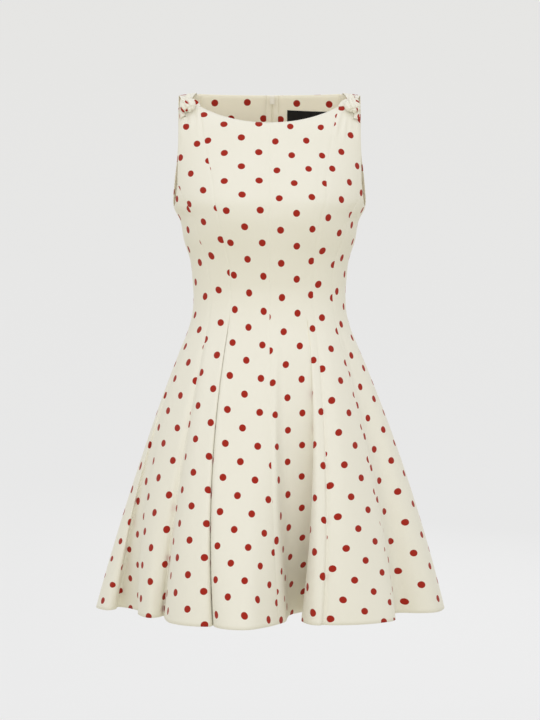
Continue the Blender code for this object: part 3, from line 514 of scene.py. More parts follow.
def smooth(table, monotone=True):
    """A function of the first column that returns the others, on a smooth curve through the rows."""
    rows = np.array(table, float)
    rows = rows[np.argsort(rows[:, 0])]
    knots, values = rows[:, 0], rows[:, 1:]
    rates = slopes(knots, values, monotone)

    def read(at):
        at = np.clip(np.asarray(at, float), knots[0], knots[-1])
        k = np.clip(np.searchsorted(knots, at, "right") - 1, 0, len(knots) - 2)
        step = (knots[k + 1] - knots[k])[..., None]
        t = ((at - knots[k]) / (knots[k + 1] - knots[k]))[..., None]
        return (
            values[k] * (1 + 2 * t) * (1 - t) ** 2
            + values[k + 1] * t * t * (3 - 2 * t)
            + rates[k] * step * t * (1 - t) ** 2
            + rates[k + 1] * step * t * t * (t - 1)
        )

    return read


def fold_curve():
    """Folds by distance round the hem: the curve's function and the distance of each named fold."""
    places = np.array([fold[1:] for fold in FOLDS], float)
    last = places[0] + np.array([360.0, 0, 0, 0, 0])
    ring = np.vstack([places, last])
    chords = np.sqrt(np.linalg.norm(np.diff(ring[:, 3:], axis=0), axis=1))
    along = np.concatenate([[0.0], np.cumsum(chords)])
    total = along[-1]
    wrapped = [
        np.column_stack([along[:-1] + total * turn, places + np.array([360.0 * turn, 0, 0, 0, 0])])
        for turn in (-1, 0, 1)
    ]
    named = {fold[0]: along[k] for k, fold in enumerate(FOLDS)}
    return smooth(np.vstack(wrapped), monotone=False), named, total


BODICE_AT = smooth(BODICE)
FRONT_SEAMS_AT = smooth(FRONT_SEAMS)
BACK_SEAMS_AT = smooth(BACK_SEAMS)
FOLD_AT, FOLD_PLACE, FOLD_TOTAL = fold_curve()


# ---------------------------------------------------------------- the dress's surface


def bodice_point(degrees, height):
    """Points on the outer cloth at these angles and heights, above the flare."""
    angle = np.radians(degrees)
    half_width, front, back = np.moveaxis(BODICE_AT(height), -1, 0)
    sine, cosine = np.sin(angle), np.cos(angle)
    reach = (1 - abs(sine) ** SECTION_POWER).clip(0) ** (1 / SECTION_POWER)
    x = half_width * sine
    bust = BUST_SWELL * np.exp(
        -((abs(x) - BUST_X) ** 2 + (height - BUST_Z) ** 2) / (2 * BUST_SPREAD**2)
    )
    y = np.where(cosine > 0, -(front + bust) * reach, back * reach)
    return np.stack([x, y, height + 0 * x], -1)


def skirt_point(place, height):
    """Points on the outer cloth at these places round the folds and heights, below the flare."""
    degrees, mid_x, mid_y, hem_x, hem_y = np.moveaxis(FOLD_AT(place), -1, 0)
    top = bodice_point(degrees, np.full_like(degrees, FLARE_Z))
    t = (FLARE_Z - height) / (FLARE_Z - HEM_Z)
    middle = (FLARE_Z - MID_Z) / (FLARE_Z - HEM_Z)
    at_top = (t - middle) * (t - 1) / middle
    at_middle = t * (t - 1) / (middle * (middle - 1))
    at_hem = t * (t - middle) / (1 - middle)
    x = top[..., 0] * at_top + mid_x * at_middle + hem_x * at_hem
    y = top[..., 1] * at_top + mid_y * at_middle + hem_y * at_hem
    return np.stack([x, y, height + 0 * x], -1)


def outward(point_at, across, height):
    """Unit normals of a surface function, pointing out of the dress."""
    step_across, step_down = 0.02, 0.0005
    east = point_at(across + step_across, height) - point_at(across - step_across, height)
    up = point_at(across, height + step_down) - point_at(across, height - step_down)
    return unit(np.cross(east, up))


def front_neck(x):
    inside = np.minimum(abs(x) / FRONT_NECK_HALF, 1.0)
    outside = np.maximum(abs(x) - FRONT_NECK_HALF, 0.0)
    return FRONT_NECK_Z + FRONT_NECK_RISE * inside**FRONT_NECK_POWER + STRAP_SLOPE * outside


def back_neck(x):
    return BACK_NECK_Z - BACK_STRAP_DROP * np.maximum(abs(x) - BACK_NECK_HALF, 0.0)


def front_arm(degrees):
    along = (degrees - FRONT_ARM_DEG) / (90 - FRONT_ARM_DEG)
    return UNDERARM_Z + (FRONT_JOIN_Z - UNDERARM_Z) * abs(1 - along) ** FRONT_ARM_POWER


def back_arm(degrees):
    along = abs(degrees - 90) / (BACK_ARM_DEG - 90)
    return UNDERARM_Z + (BACK_JOIN_Z - UNDERARM_Z) * along**BACK_ARM_POWER


def seam_degrees(name, height):
    """Angle of a seam at these heights in the bodice, from 0 at the front to 180 at the back."""
    if name == "centre_front":
        return 0.0 * height
    if name == "side":
        return 90.0 + 0.0 * height
    if name in FRONT_SEAM_NAMES:
        return FRONT_SEAMS_AT(height)[..., FRONT_SEAM_NAMES.index(name)]
    return BACK_SEAMS_AT(height)[..., 0 if name.startswith("side_back") else 1]


def gore_seams(kind, side):
    """The two seams of a gore, from the one nearer the front."""
    word = "left" if side > 0 else "right"
    return {
        "centre_front": ("centre_front", "princess_" + word),
        "mid_front": ("princess_" + word, "side_front_" + word),
        "side_front": ("side_front_" + word, "side"),
        "side_back": ("side", "side_back_" + word),
        "centre_back": ("side_back_" + word, "centre_back"),
    }[kind]


def fold_place(seam, side):
    """Place of a seam round the folds, counted so that it runs up from the front on either side."""
    if seam == "side":
        seam = "side_left" if side > 0 else "side_right"
    place = FOLD_PLACE[seam]
    return place - FOLD_TOTAL if side < 0 and place > 0 else place


def bodice_degrees(kind, side, share, height):
    """Angle at a share of the way across a gore. The centre back seam isn't quite at 180, and the
    right gore runs past 180 to meet it."""
    near, far = gore_seams(kind, side)
    first, last = seam_degrees(near, height), seam_degrees(far, height)
    if side < 0 and far == "centre_back":
        last = 360.0 - last
    return side * (first + (last - first) * share)


def top_edge(kind, point, degrees):
    """Height of a gore's top edge above these points of the bodice."""
    if kind == "side_front":
        return front_arm(abs(degrees))
    if kind == "side_back":
        return back_arm(abs(degrees))
    neck = back_neck if kind == "centre_back" else front_neck
    return neck(point[..., 0])


def top_height(kind, side, share):
    """Height of a gore's top edge, found by halving: the edge is a curve over place, not height."""
    joins = {"side_front": FRONT_JOIN_Z, "side_back": BACK_JOIN_Z}
    high = np.full_like(share, joins.get(kind, TOP_EDGE_HIGH))
    low = np.full_like(share, TOP_EDGE_LOW)
    for _ in range(TOP_EDGE_HALVINGS):
        middle = (high + low) / 2
        degrees = bodice_degrees(kind, side, share, middle)
        above = middle > top_edge(kind, bodice_point(degrees, middle), degrees)
        high = np.where(above, middle, high)
        low = np.where(above, low, middle)
    return (high + low) / 2


# ---------------------------------------------------------------- grids of cloth


def ribs(start, end):
    """Places across a gore from seam to seam, close together beside the seams."""
    folds = np.sort(np.array(list(FOLD_PLACE.values())))
    folds = np.concatenate([folds - FOLD_TOTAL, folds, [FOLD_TOTAL]])
    low, high = min(start, end), max(start, end)
    folds = folds[(folds > low - 1e-9) & (folds < high + 1e-9)]
    places = [folds[:1]]
    for first, second in zip(folds, folds[1:]):
        count = max(3, round((second - first) * RIBS_PER_UNIT))
        places.append(np.linspace(first, second, count + 1)[1:])
    places = np.concatenate(places)
    after = places[0] + (places[1] - places[0]) * np.array(RIBS_BY_SEAM)
    before = places[-1] - (places[-1] - places[-2]) * np.array(RIBS_BY_SEAM[::-1])
    places = np.concatenate([places[:1], after, places[1:-1], before, places[-1:]])
    return places if start < end else places[::-1]


def gore_grid(kind, side):
    """Smooth outer points and normals of a gore, a row for each height and a column for each rib."""
    near, far = gore_seams(kind, side)
    place = ribs(fold_place(near, side), fold_place(far, side))
    at_flare = FOLD_AT(place)[:, 0]
    share = (at_flare - at_flare[0]) / (at_flare[-1] - at_flare[0])
    top = top_height(kind, side, share)
    heights = []
    if kind in ("side_front", "side_back"):
        joined = top
    else:
        joined = np.full_like(top, BACK_JOIN_Z if kind == "centre_back" else FRONT_JOIN_Z)
        heights += [top + (joined - top) * k / UPPER_ROWS for k in range(UPPER_ROWS)]
    heights += [joined + (FLARE_Z - joined) * k / BODICE_ROWS for k in range(BODICE_ROWS)]
    points, normals = [], []
    for height in heights:
        degrees = bodice_degrees(kind, side, share, height)
        points.append(bodice_point(degrees, height))
        normals.append(outward(bodice_point, degrees, height))
    for k in range(SKIRT_ROWS + 1):
        height = np.full_like(place, FLARE_Z + (HEM_Z - FLARE_Z) * k / SKIRT_ROWS)
        points.append(skirt_point(place, height))
        normals.append(outward(skirt_point, place, height))
    points, normals = np.array(points), np.array(normals)
    soften_waist(points)
    soften_waist(normals)
    normals = unit(normals)
    raised = creased(points) + seamed(points)
    return points + normals * raised[..., None], normals


def soften_waist(rows):
    """Rounds the turn from the bodice into the skirt, in place."""
    middle = len(rows) - SKIRT_ROWS - 1
    reach = round(WAIST_SOFTEN / ((FLARE_Z - HEM_Z) / SKIRT_ROWS))
    window = np.arange(middle - reach, middle + reach + 1)
    weight = np.cos((window - middle) / (reach + 1) * math.pi / 2)[:, None, None] ** 2
    for _ in range(WAIST_PASSES):
        mean = (rows[window - 1] + rows[window + 1]) / 2
        rows[window] += (mean - rows[window]) * weight * 0.5


def creased(points):
    """Height that the creases give each point, out of the cloth."""
    total = np.zeros(points.shape[:2])
    for x0, z0, x1, z1, bow, half_width, height in CREASES:
        along_x, along_z = x1 - x0, z1 - z0
        length = math.hypot(along_x, along_z)
        from_x, from_z = points[..., 0] - x0, points[..., 2] - z0
        t = (from_x * along_x + from_z * along_z) / length**2
        across = (from_x * along_z - from_z * along_x) / length
        across = across + bow * 4 * t * (1 - t)
        fade = np.clip(np.minimum(t, 1 - t) * CREASE_RISE + CREASE_ENDS, 0, 1)
        fade = fade * fade * (3 - 2 * fade)
        shown = (points[..., 1] < 0) & (t > -CREASE_OVERRUN) & (t < 1 + CREASE_OVERRUN)
        total += shown * height * fade * np.exp(-((across / half_width) ** 2))
    return total


def seamed(points):
    """Height that the seams at both sides of a gore give each point: a groove and its pucker."""
    steps = np.linalg.norm(np.diff(points, axis=1), axis=-1)
    from_near = np.concatenate([np.zeros((len(points), 1)), np.cumsum(steps, axis=1)], axis=1)
    total = np.zeros(points.shape[:2])
    for distance, edge in ((from_near, 0), (from_near[:, -1:] - from_near, -1)):
        down = run(points[:, edge])
        drift = PUCKER_DRIFT * np.sin(down / PUCKER_DRIFT_LENGTH)
        pucker = np.sin(down / PUCKER_LENGTH * 2 * math.pi + drift)
        total -= GROOVE_DEPTH * np.exp(-((distance / GROOVE_WIDTH) ** 2))
        total += PUCKER_DEPTH * pucker[:, None] * np.exp(-((distance / PUCKER_REACH) ** 2))
    return total


# ---------------------------------------------------------------- flat pattern and print


def flat_pattern(points):
    """Where each point of a grid lies on the cloth before it was sewn, in metres."""
    rows, columns = points.shape[:2]
    mesh = bpy.data.meshes.new("pattern")
    faces = [
        (i * columns + j, (i + 1) * columns + j, (i + 1) * columns + j + 1, i * columns + j + 1)
        for i in range(rows - 1) for j in range(columns - 1)
    ]
    mesh.from_pydata(points.reshape(-1, 3).tolist(), [], faces)
    mesh.uv_layers.new(name="pattern")
    obj = bpy.data.objects.new("pattern", mesh)
    bpy.context.scene.collection.objects.link(obj)
    bpy.ops.object.select_all(action="DESELECT")
    obj.select_set(True)
    bpy.context.view_layer.objects.active = obj
    bpy.ops.object.mode_set(mode="EDIT")
    bpy.ops.mesh.select_all(action="SELECT")
    bpy.ops.uv.unwrap(method="MINIMUM_STRETCH", iterations=UNROLL_PASSES, margin=0.0)
    bpy.ops.object.mode_set(mode="OBJECT")
    corner = np.empty(len(mesh.loops), int)
    mesh.loops.foreach_get("vertex_index", corner)
    read = np.empty(len(mesh.loops) * 2)
    mesh.uv_layers[0].uv.foreach_get("vector", read)
    flat = np.zeros((rows * columns, 2))
    flat[corner] = read.reshape(-1, 2)
    bpy.data.objects.remove(obj, do_unlink=True)
    bpy.data.meshes.remove(mesh)
    flat = flat.reshape(rows, columns, 2)
    return straightened(flat, points)


def area(grid):
    """Area of a grid of points, negative for a flat one that lies turned over."""
    one, other = grid[1:, 1:] - grid[:-1, :-1], grid[1:, :-1] - grid[:-1, 1:]
    if grid.shape[-1] == 2:
        return (one[..., 0] * other[..., 1] - one[..., 1] * other[..., 0]).sum() / 2
    return np.linalg.norm(np.cross(one, other), axis=-1).sum() / 2


def straightened(flat, points):
    """The pattern at true size, its middle rib upright and its first corner on the left or right
    as on the dress, with its origin halfway down that rib."""
    flat = flat * math.sqrt(area(points) / abs(area(flat)))
    middle = flat.shape[1] // 2
    spine = flat[0, middle] - flat[-1, middle]
    turn = math.pi / 2 - math.atan2(spine[1], spine[0])
    sine, cosine = math.sin(turn), math.cos(turn)
    flat = flat @ np.array([[cosine, sine], [-sine, cosine]])
    outer = points[..., 1].mean() > 0
    wanted = np.sign(points[-1, -1, 0] - points[-1, 0, 0]) * (-1 if outer else 1)
    if np.sign(flat[-1, -1, 0] - flat[-1, 0, 0]) != wanted:
        flat[..., 0] *= -1
    return flat - flat[flat.shape[0] // 2, middle]


def printed(flat, name):
    """The pattern laid on the print where the panel was cut, with the print's drift down it."""
    if name not in PRINT_PLACES:
        return flat
    across, height = flat[..., 0], flat[..., 1]
    places = smooth(PRINT_PLACES[name], monotone=False)(height)
    right, up, turned, eased = np.moveaxis(places, -1, 0)
    turned = np.radians(turned)
    x = right + across * np.cos(turned) * (1 + eased)
    y = height + up + across * np.sin(turned)
    return np.stack([x, y], -1)


# ---------------------------------------------------------------- pieces


def new_object(name, vertices, faces, materials, slots=None, uvs=None):
    mesh = bpy.data.meshes.new(name)
    mesh.from_pydata([tuple(v) for v in vertices], [], faces)
    for material in materials:
        mesh.materials.append(material)
    if slots is not None:
        mesh.polygons.foreach_set("material_index", slots)
    if uvs is not None:
        layer = mesh.uv_layers.new(name="Print")
        corner = np.empty(len(mesh.loops), int)
        mesh.loops.foreach_get("vertex_index", corner)
        layer.uv.foreach_set("vector", np.asarray(uvs, float)[corner].ravel())
    mesh.polygons.foreach_set("use_smooth", [True] * len(mesh.polygons))
    mesh.validate()
    obj = bpy.data.objects.new(name, mesh)
    bpy.context.scene.collection.objects.link(obj)
    return obj


def recalculated(obj):
    """The object with its faces pointing outwards."""
    bm = bmesh.new()
    bm.from_mesh(obj.data)
    bm.normal_update()
    bmesh.ops.recalc_face_normals(bm, faces=bm.faces)
    bm.to_mesh(obj.data)
    bm.free()
    return obj


def wall(name, outer, inner, materials, flat, flip=False):
    """A closed sheet between two grids, its edges rounded by a row halfway through them."""
    rows, columns = outer.shape[:2]
    count = rows * columns
    border = [(0, j) for j in range(columns)] + [(i, columns - 1) for i in range(1, rows)]
    border += [(rows - 1, j) for j in range(columns - 2, -1, -1)]
    border += [(i, 0) for i in range(rows - 2, 0, -1)]
    middle = (outer + inner) / 2
    thickness = np.linalg.norm(outer - inner, axis=-1, keepdims=True)
    inside = np.array([(min(max(i, 1), rows - 2), min(max(j, 1), columns - 2)) for i, j in border])
    at = tuple(np.array(border).T)
    away = unit(middle[at] - middle[tuple(inside.T)])
    round_edge = middle[at] + away * thickness[at] * EDGE_ROUNDING
    vertices = np.concatenate([outer.reshape(-1, 3), inner.reshape(-1, 3), round_edge])
    faces, slots = [], []
    for i in range(rows - 1):
        for j in range(columns - 1):
            a, b = i * columns + j, i * columns + j + 1
            c, d = b + columns, a + columns
            faces.append((a, d, c, b))
            faces.append((a + count, b + count, c + count, d + count))
            slots += [0, len(materials) - 1]
    for k, (i, j) in enumerate(border):
        ni, nj = border[(k + 1) % len(border)]
        a, b = i * columns + j, ni * columns + nj
        ra, rb = 2 * count + k, 2 * count + (k + 1) % len(border)
        faces.append((a, b, rb, ra))
        faces.append((ra, rb, b + count, a + count))
        slots += [0, len(materials) - 1]
    uvs = np.concatenate([flat.reshape(-1, 2), flat.reshape(-1, 2), flat[at]])
    if flip:
        faces = [face[::-1] for face in faces]
    return new_object(name, vertices, faces, materials, slots, uvs)


def worn(piece, node):
    """Rides a piece on the dress in place of its CAD node."""
    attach(piece, "dress")
    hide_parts(node)


def cut_sheet(name, node, slot, skins, cloths, flip=False, held="hung", **laid):
    """A sheet of cloth between two skins. The first is unrolled, which gives the sheet's place on
    the print and its cut."""
    pattern = flat_pattern(skins[0])
    piece = recalculated(wall(name, *skins, cloths, printed(pattern, node), flip))
    worn(piece, node)


def make_gores(cloth, wrong_side_and_painted_light):
    """The ten gores, and the outer points and normals of each for what is sewn to them."""
    grids = {}
    for kind in GORES:
        for side, suffix in SIDES:
            name = kind + suffix
            points, normals = gore_grid(kind, side)
            above_hem = points[..., 2] - HEM_Z
            turned_up = np.clip(HEM_EASE * (1 - above_hem / HEM_DEPTH), 0, 1)
            inner = points - normals * (CLOTH * (1 + HEM_FOLD * turned_up))[..., None]
            cut_sheet(name + "_cloth", name, "printed_cloth", (points, inner), (cloth, wrong_side_and_painted_light),
                      flip=side > 0, rests_on=["strap_front" + suffix])
            grids[name] = (points, normals)
    return grids


# ---------------------------------------------------------------- facing, zip tapes, label


def along_rows(grid, distances):
    """Points at these distances from the last column, measured along each row of a grid."""
    return np.array([read_line(row, run(row), distances) for row in grid[:, ::-1]])


def lined(gore, rows, distances, lift, thickness, own_ribs=None):
    """Two skins laid on the inside of a gore's first rows: on some of its own ribs, and at distances
    from its last edge. The skin nearer the gore comes first."""
    points, normals = gore
    skins = []
    for depth in (lift, lift + thickness):
        grid = (points - normals * (CLOTH + depth))[:rows]
        strip = along_rows(grid, distances)
        if own_ribs is not None:
            strip = np.concatenate([grid[:, own_ribs], strip[:, ::-1]], axis=1)
        skins.append(strip)
    return skins


def at_heights(skin, heights, fall):
    """The stretch of a skin at these heights, which fall evenly from its first column on."""
    columns = np.moveaxis(skin, 1, 0)
    drops = np.linspace(0, fall, len(columns))
    rows = [
        [read_line(column, -column[:, 2], drop - z) for column, drop in zip(columns, drops)]
        for z in heights
    ]
    return np.array(rows)


def make_back_lining(grids, facing_cloth, tape_cloth):
    """The printed facing and the zip's tape inside each centre back gore."""
    reach = TAPE_WIDTH + 2 * LAYER_GAP
    across = np.linspace(TAPE_START, TAPE_WIDTH, TAPE_RIBS)
    for _, suffix in SIDES:
        gore = grids["centre_back" + suffix]
        rests_on = ["centre_back" + suffix + "_cloth"]
        top = gore[0][0][:, 0]
        clear = (abs(top - top[-1]) > FACING_CLEARANCE * reach) & (abs(top) < BACK_NECK_HALF)
        facing = lined(gore, FACING_ROWS, [reach], LAYER_GAP, FACING_THICKNESS, clear)
        cut_sheet("back_facing" + suffix + "_cloth", "back_facing" + suffix, "facing_cloth",
                  facing[::-1], (facing_cloth,), rests_on=rests_on)
        tape = lined(gore, TAPE_ROWS, across, LAYER_GAP, TAPE_THICKNESS)
        cut_sheet("zip_tape" + suffix + "_weave", "zip_tape" + suffix, "zip_tape",
                  tape[::-1], (tape_cloth,), rests_on=rests_on)


def make_label(gore, satin):
    """The bare label on the facing, its upper edge falling a little towards its end."""
    lift = 2 * LAYER_GAP + FACING_THICKNESS
    across = LABEL_START + np.linspace(0, LABEL_WIDTH, LABEL_RIBS)
    skins = lined(gore, FACING_ROWS, across, lift, LABEL_THICKNESS)
    heights = LABEL_TOP_Z - LABEL_HEIGHT * np.linspace(0, 1, LABEL_ROWS)
    outer, inner = (at_heights(skin, heights, LABEL_FALL) for skin in skins)
    piece = recalculated(wall("neck_label_satin", inner, outer, (satin,), flat_pattern(inner)))
    worn(piece, "neck_label")


# ---------------------------------------------------------------- shoulder ties


def strap_grids(gore, columns, side, apart, bend_share, pleats):
    """The two skins of a strap, from a stretch of a gore's top edge to where the straps meet."""
    points, normals = gore
    edge, normal = points[0][columns], normals[0][columns]
    rise = unit(points[0][columns] - points[1][columns])
    order = np.argsort(edge[:, 0] * side)
    edge, normal, rise = edge[order] + rise[order] * LAYER_GAP, normal[order], rise[order]
    share = np.linspace(0, 1, len(edge))[:, None]
    finish = np.array(STRAPS_MEET) + (share - 0.5) * np.array([STRAP_END_WIDTH, 0, 0])
    finish = (finish + np.array([0, apart, 0])) * np.array([side, 1, 1])
    length = np.linalg.norm(finish - edge, axis=-1, keepdims=True)
    bend = edge + rise * length * bend_share
    outer, inner = [], []
    for k in range(STRAP_STEPS + 1):
        t = k / STRAP_STEPS
        upper = curve(t, edge, bend, finish)
        facing_out = unit(normal * (1 - t) + np.array([0, 0, 1.0]) * t)
        swell = sum(
            height * np.exp(-(((share - place - drift * t) / width) ** 2))
            for place, drift, width, height in pleats
        )
        fade = min(1.0, t * PLEAT_RISE + PLEAT_START)
        upper = upper + facing_out * swell * fade
        outer.append(upper)
        inner.append(upper - facing_out * STRAP_THICKNESS)
    return np.array(outer), np.array(inner)


def knot_frame(gore, side, inward):
    """The knot's frame on the front strap: x towards the armhole, y out of the cloth, z up it."""
    points, normals = gore
    middle = points.shape[1] // 2
    depth = KNOT_BASE_DOWN / np.linalg.norm(points[1, middle] - points[0, middle])
    row, part = int(depth), depth - int(depth)
    base = Vector(points[row, middle]).lerp(Vector(points[row + 1, middle]), part)
    out = Vector(normals[row, middle]).lerp(Vector(normals[row + 1, middle]), part).normalized()
    across = (Vector((side, 0, 0)) - out * out.x * side).normalized()
    up = out.cross(across) * side
    centre = base - across * inward + out * (KNOT_RADII[1] * KNOT_STANDOFF + LAYER_GAP)
    return Matrix.Translation(centre) @ Matrix((across, out, up)).transposed().to_4x4()


def ring_faces(rings, around):
    """Faces between rings of points that close on themselves."""
    faces = []
    for k in range(rings - 1):
        for n in range(around):
            a, b = k * around + n, k * around + (n + 1) % around
            faces.append((a, b, b + around, a + around))
    return faces


def make_knot(name, place, folds, dots, cloth):
    """The tie's knot: cloth wrapped over itself in bands, with a fold pressed in beside each."""
    turn = np.linspace(0, 2 * math.pi, KNOT_RIBS, endpoint=False)
    tilt = np.linspace(0, math.pi, KNOT_ROWS + 1)[1:-1]
    sphere = np.stack([
        np.outer(np.sin(tilt), np.cos(turn)),
        np.outer(np.sin(tilt), np.sin(turn)),
        np.outer(np.cos(tilt), np.ones(KNOT_RIBS)),
    ], -1).reshape(-1, 3)
    last = len(sphere) - KNOT_RIBS
    sphere = np.vstack([sphere, [[0, 0, 1.0]], [[0, 0, -1.0]]])
    square = np.sign(sphere) * abs(sphere) ** KNOT_SQUARENESS
    local = square * np.array(KNOT_RADII)
    push = np.zeros(len(sphere))
    beyond = []
    for direction, where, width, height in folds:
        reach = sphere @ np.array(direction) - where
        push += height * np.exp(-((reach / width) ** 2))
        if height < 0:
            beyond.append(reach > 0)
    local = local * KNOT_DRAWN_IN + sphere * push[:, None]
    flat = local[:, [0, 2]] + PLAIN_PLACE
    for creases, x, z in dots:
        band = np.all([inside == (k in creases) for k, inside in enumerate(beyond)], axis=0)
        flat[band] = local[band][:, [0, 2]] - (x, z)
    faces = ring_faces(len(tilt), KNOT_RIBS)
    for j in range(KNOT_RIBS):
        after = (j + 1) % KNOT_RIBS
        faces.append((len(sphere) - 2, after, j))
        faces.append((len(sphere) - 1, last + j, last + after))
    world = [place @ Vector(p) for p in local]
    return recalculated(new_object(name, world, faces, (cloth,), uvs=flat))


def make_tail(name, route, place, print_place, cloth):
    """A short folded end of the tie: it widens, and its cut end opens in a pleat."""
    start, turn, end = (Vector(point) for point in route)
    length = (turn - start).length + (end - turn).length
    vertices, flat = [], []
    for k in range(TAIL_STEPS + 1):
        t = k / TAIL_STEPS
        point = curve(t, start, turn, end)
        ahead = ((turn - start) * (1 - t) + (end - turn) * t).normalized()
        wide = Vector((0, 1, 0)).cross(ahead).normalized()
        thick = ahead.cross(wide).normalized()
        half = (TAIL_START + (TAIL_END - TAIL_START) * t) / 2
        at_tip = max(0.0, (t - TAIL_TIP) / (1 - TAIL_TIP)) ** 2
        tip = math.sqrt(max(0.0, 1 - at_tip * TAIL_TIP_THINNING))
        for n in range(TAIL_RIBS):
            a = 2 * math.pi * n / TAIL_RIBS
            side = half * math.cos(a) * (1 - TAIL_TIP_NARROWING * (1 - tip))
            pleat = TAIL_PLEAT * t * math.cos(3 * a + 0.6)
            out = (TAIL_THICKNESS / 2 * math.sin(a) + pleat) * tip
            slant = TAIL_CUT_WAVE * math.cos(2 * a + 1) * t
            vertices.append(place @ (point + wide * side + thick * out + ahead * slant))
            flat.append((side * TAIL_PRINT_EASE + print_place[0], t * length + print_place[1]))
    faces = ring_faces(TAIL_STEPS + 1, TAIL_RIBS)
    faces.append(tuple(range(TAIL_RIBS))[::-1])
    faces.append(tuple(TAIL_STEPS * TAIL_RIBS + n for n in range(TAIL_RIBS)))
    return recalculated(new_object(name, vertices, faces, (cloth,), uvs=flat))


def make_ties(grids, cloth):
    """On each shoulder a knot, its two short ends, and the straps that are gathered into it."""
    for side, suffix in SIDES:
        front, back = grids["mid_front" + suffix], grids["centre_back" + suffix]
        place = knot_frame(front, side, KNOT_INWARD[suffix])
        tied = {"knot" + suffix: make_knot("knot" + suffix + "_cloth", place, KNOT_FOLDS[suffix],
                                           KNOT_DOTS[suffix], cloth)}
        for name in ("tail_top" + suffix, "tail_side" + suffix):
            tied[name] = make_tail(name + "_cloth", TAIL_ROUTES[name], place, TAIL_PRINT[name], cloth)
        for name, piece in tied.items():
            worn(piece, name)
        whole_edge = np.ones(front[0].shape[1], bool)
        past_neck = abs(back[0][0][:, 0]) > BACK_NECK_HALF
        for name, gore, columns, apart, bend, pleats, tied_on in (
            ("strap_front", front, whole_edge, -LAYER_GAP / 2, FRONT_STRAP_BEND,
             FRONT_PLEATS[suffix], list(tied.values())),
            ("strap_back", back, past_neck, LAYER_GAP / 2, BACK_STRAP_BEND, BACK_PLEATS, []),
        ):
            skins = strap_grids(gore, columns, side, apart, bend, pleats)
            cut_sheet(name + suffix + "_cloth", name + suffix, "printed_cloth", skins, (cloth,),
                      held="gathered", rests_on=["mid_front" + suffix + "_cloth"],
                      with_pieces=tied_on)


# ---------------------------------------------------------------- materials


def feed(tree, value, socket):
    """Sets a socket to a number, vector or colour, or links another node's output to it."""
    if isinstance(value, bpy.types.NodeSocket):
        tree.links.new(value, socket)
    else:
        socket.default_value = value


def new_group(name, numbers, outputs):
    """A node group that reads a place on the flat cloth and these numbers."""
    group = bpy.data.node_groups.new(name, "ShaderNodeTree")
    group.interface.new_socket("Flat cloth", in_out="INPUT", socket_type="NodeSocketVector")
    for number in numbers:
        group.interface.new_socket(number, in_out="INPUT", socket_type="NodeSocketFloat")
    for output in outputs:
        group.interface.new_socket(output, in_out="OUTPUT", socket_type="NodeSocketFloat")
    return group, group.nodes.new("NodeGroupInput"), group.nodes.new("NodeGroupOutput")


def math_node(tree, operation, *values, clamp=False):
    node = tree.nodes.new("ShaderNodeMath")
    node.operation = operation
    node.use_clamp = clamp
    for k, value in enumerate(values):
        feed(tree, value, node.inputs[k])
    return node.outputs[0]


def vector_node(tree, operation, *values):
    node = tree.nodes.new("ShaderNodeVectorMath")
    node.operation = operation
    for k, value in enumerate(values):
        feed(tree, value, node.inputs["Scale" if isinstance(value, float) else k])
    return node.outputs["Value"] if operation == "LENGTH" else node.outputs["Vector"]


def noise_node(tree, vector, scale, detail=2.0):
    node = tree.nodes.new("ShaderNodeTexNoise")
    feed(tree, scale, node.inputs["Scale"])
    feed(tree, detail, node.inputs["Detail"])
    feed(tree, vector, node.inputs["Vector"])
    return node.outputs["Fac"]


def wave_node(tree, vector, direction, scale, wander=None):
    node = tree.nodes.new("ShaderNodeTexWave")
    node.bands_direction = direction
    feed(tree, scale, node.inputs["Scale"])
    feed(tree, vector, node.inputs["Vector"])
    for socket, value in (wander or {}).items():
        feed(tree, value, node.inputs[socket])
    return node.outputs["Fac"]


def range_node(tree, value, low, high, out_low=0.0, out_high=1.0, smooth_step=False):
    node = tree.nodes.new("ShaderNodeMapRange")
    if smooth_step:
        node.interpolation_type = "SMOOTHSTEP"
    for socket, number in (("Value", value), ("From Min", low), ("From Max", high),
                           ("To Min", out_low), ("To Max", out_high)):
        feed(tree, number, node.inputs[socket])
    return node.outputs["Result"]


def mix_colours(tree, factor, first, second):
    node = tree.nodes.new("ShaderNodeMix")
    node.data_type = "RGBA"
    for k, value in ((0, factor), (6, first), (7, second)):
        feed(tree, (*value, 1.0) if isinstance(value, tuple) else value, node.inputs[k])
    return node.outputs[2]


def dot_print_group():
    """Round dots in offset rows on the flat cloth, their edges a little uneven."""
    group, start, end = new_group("Dot print", (), ("Dots",))
    flat = start.outputs["Flat cloth"]
    uneven = noise_node(group, flat, DOT_NOISE, 1.0)
    distances = []
    for shift in (0.0, 0.5):
        cell = vector_node(group, "SCALE", flat, 1 / DOT_REPEAT)
        cell = vector_node(group, "ADD", cell, (0.5 + shift, 0.5 + shift, 0.0))
        cell = vector_node(group, "FRACTION", cell)
        cell = vector_node(group, "SUBTRACT", cell, (0.5, 0.5, 0.0))
        cell = vector_node(group, "MULTIPLY", cell, (1.0, 1.0, 0.0))
        distances.append(vector_node(group, "LENGTH", cell))
    nearest = math_node(group, "MINIMUM", *distances)
    metres = math_node(group, "MULTIPLY", nearest, DOT_REPEAT)
    edge = math_node(group, "MULTIPLY_ADD", uneven, DOT_UNEVENNESS, -DOT_UNEVENNESS / 2)
    metres = math_node(group, "ADD", metres, edge)
    dots = range_node(group, metres, DOT_RADIUS - DOT_SOFTNESS, DOT_RADIUS + DOT_SOFTNESS,
                      1.0, 0.0, True)
    group.links.new(dots, end.inputs["Dots"])
    return group


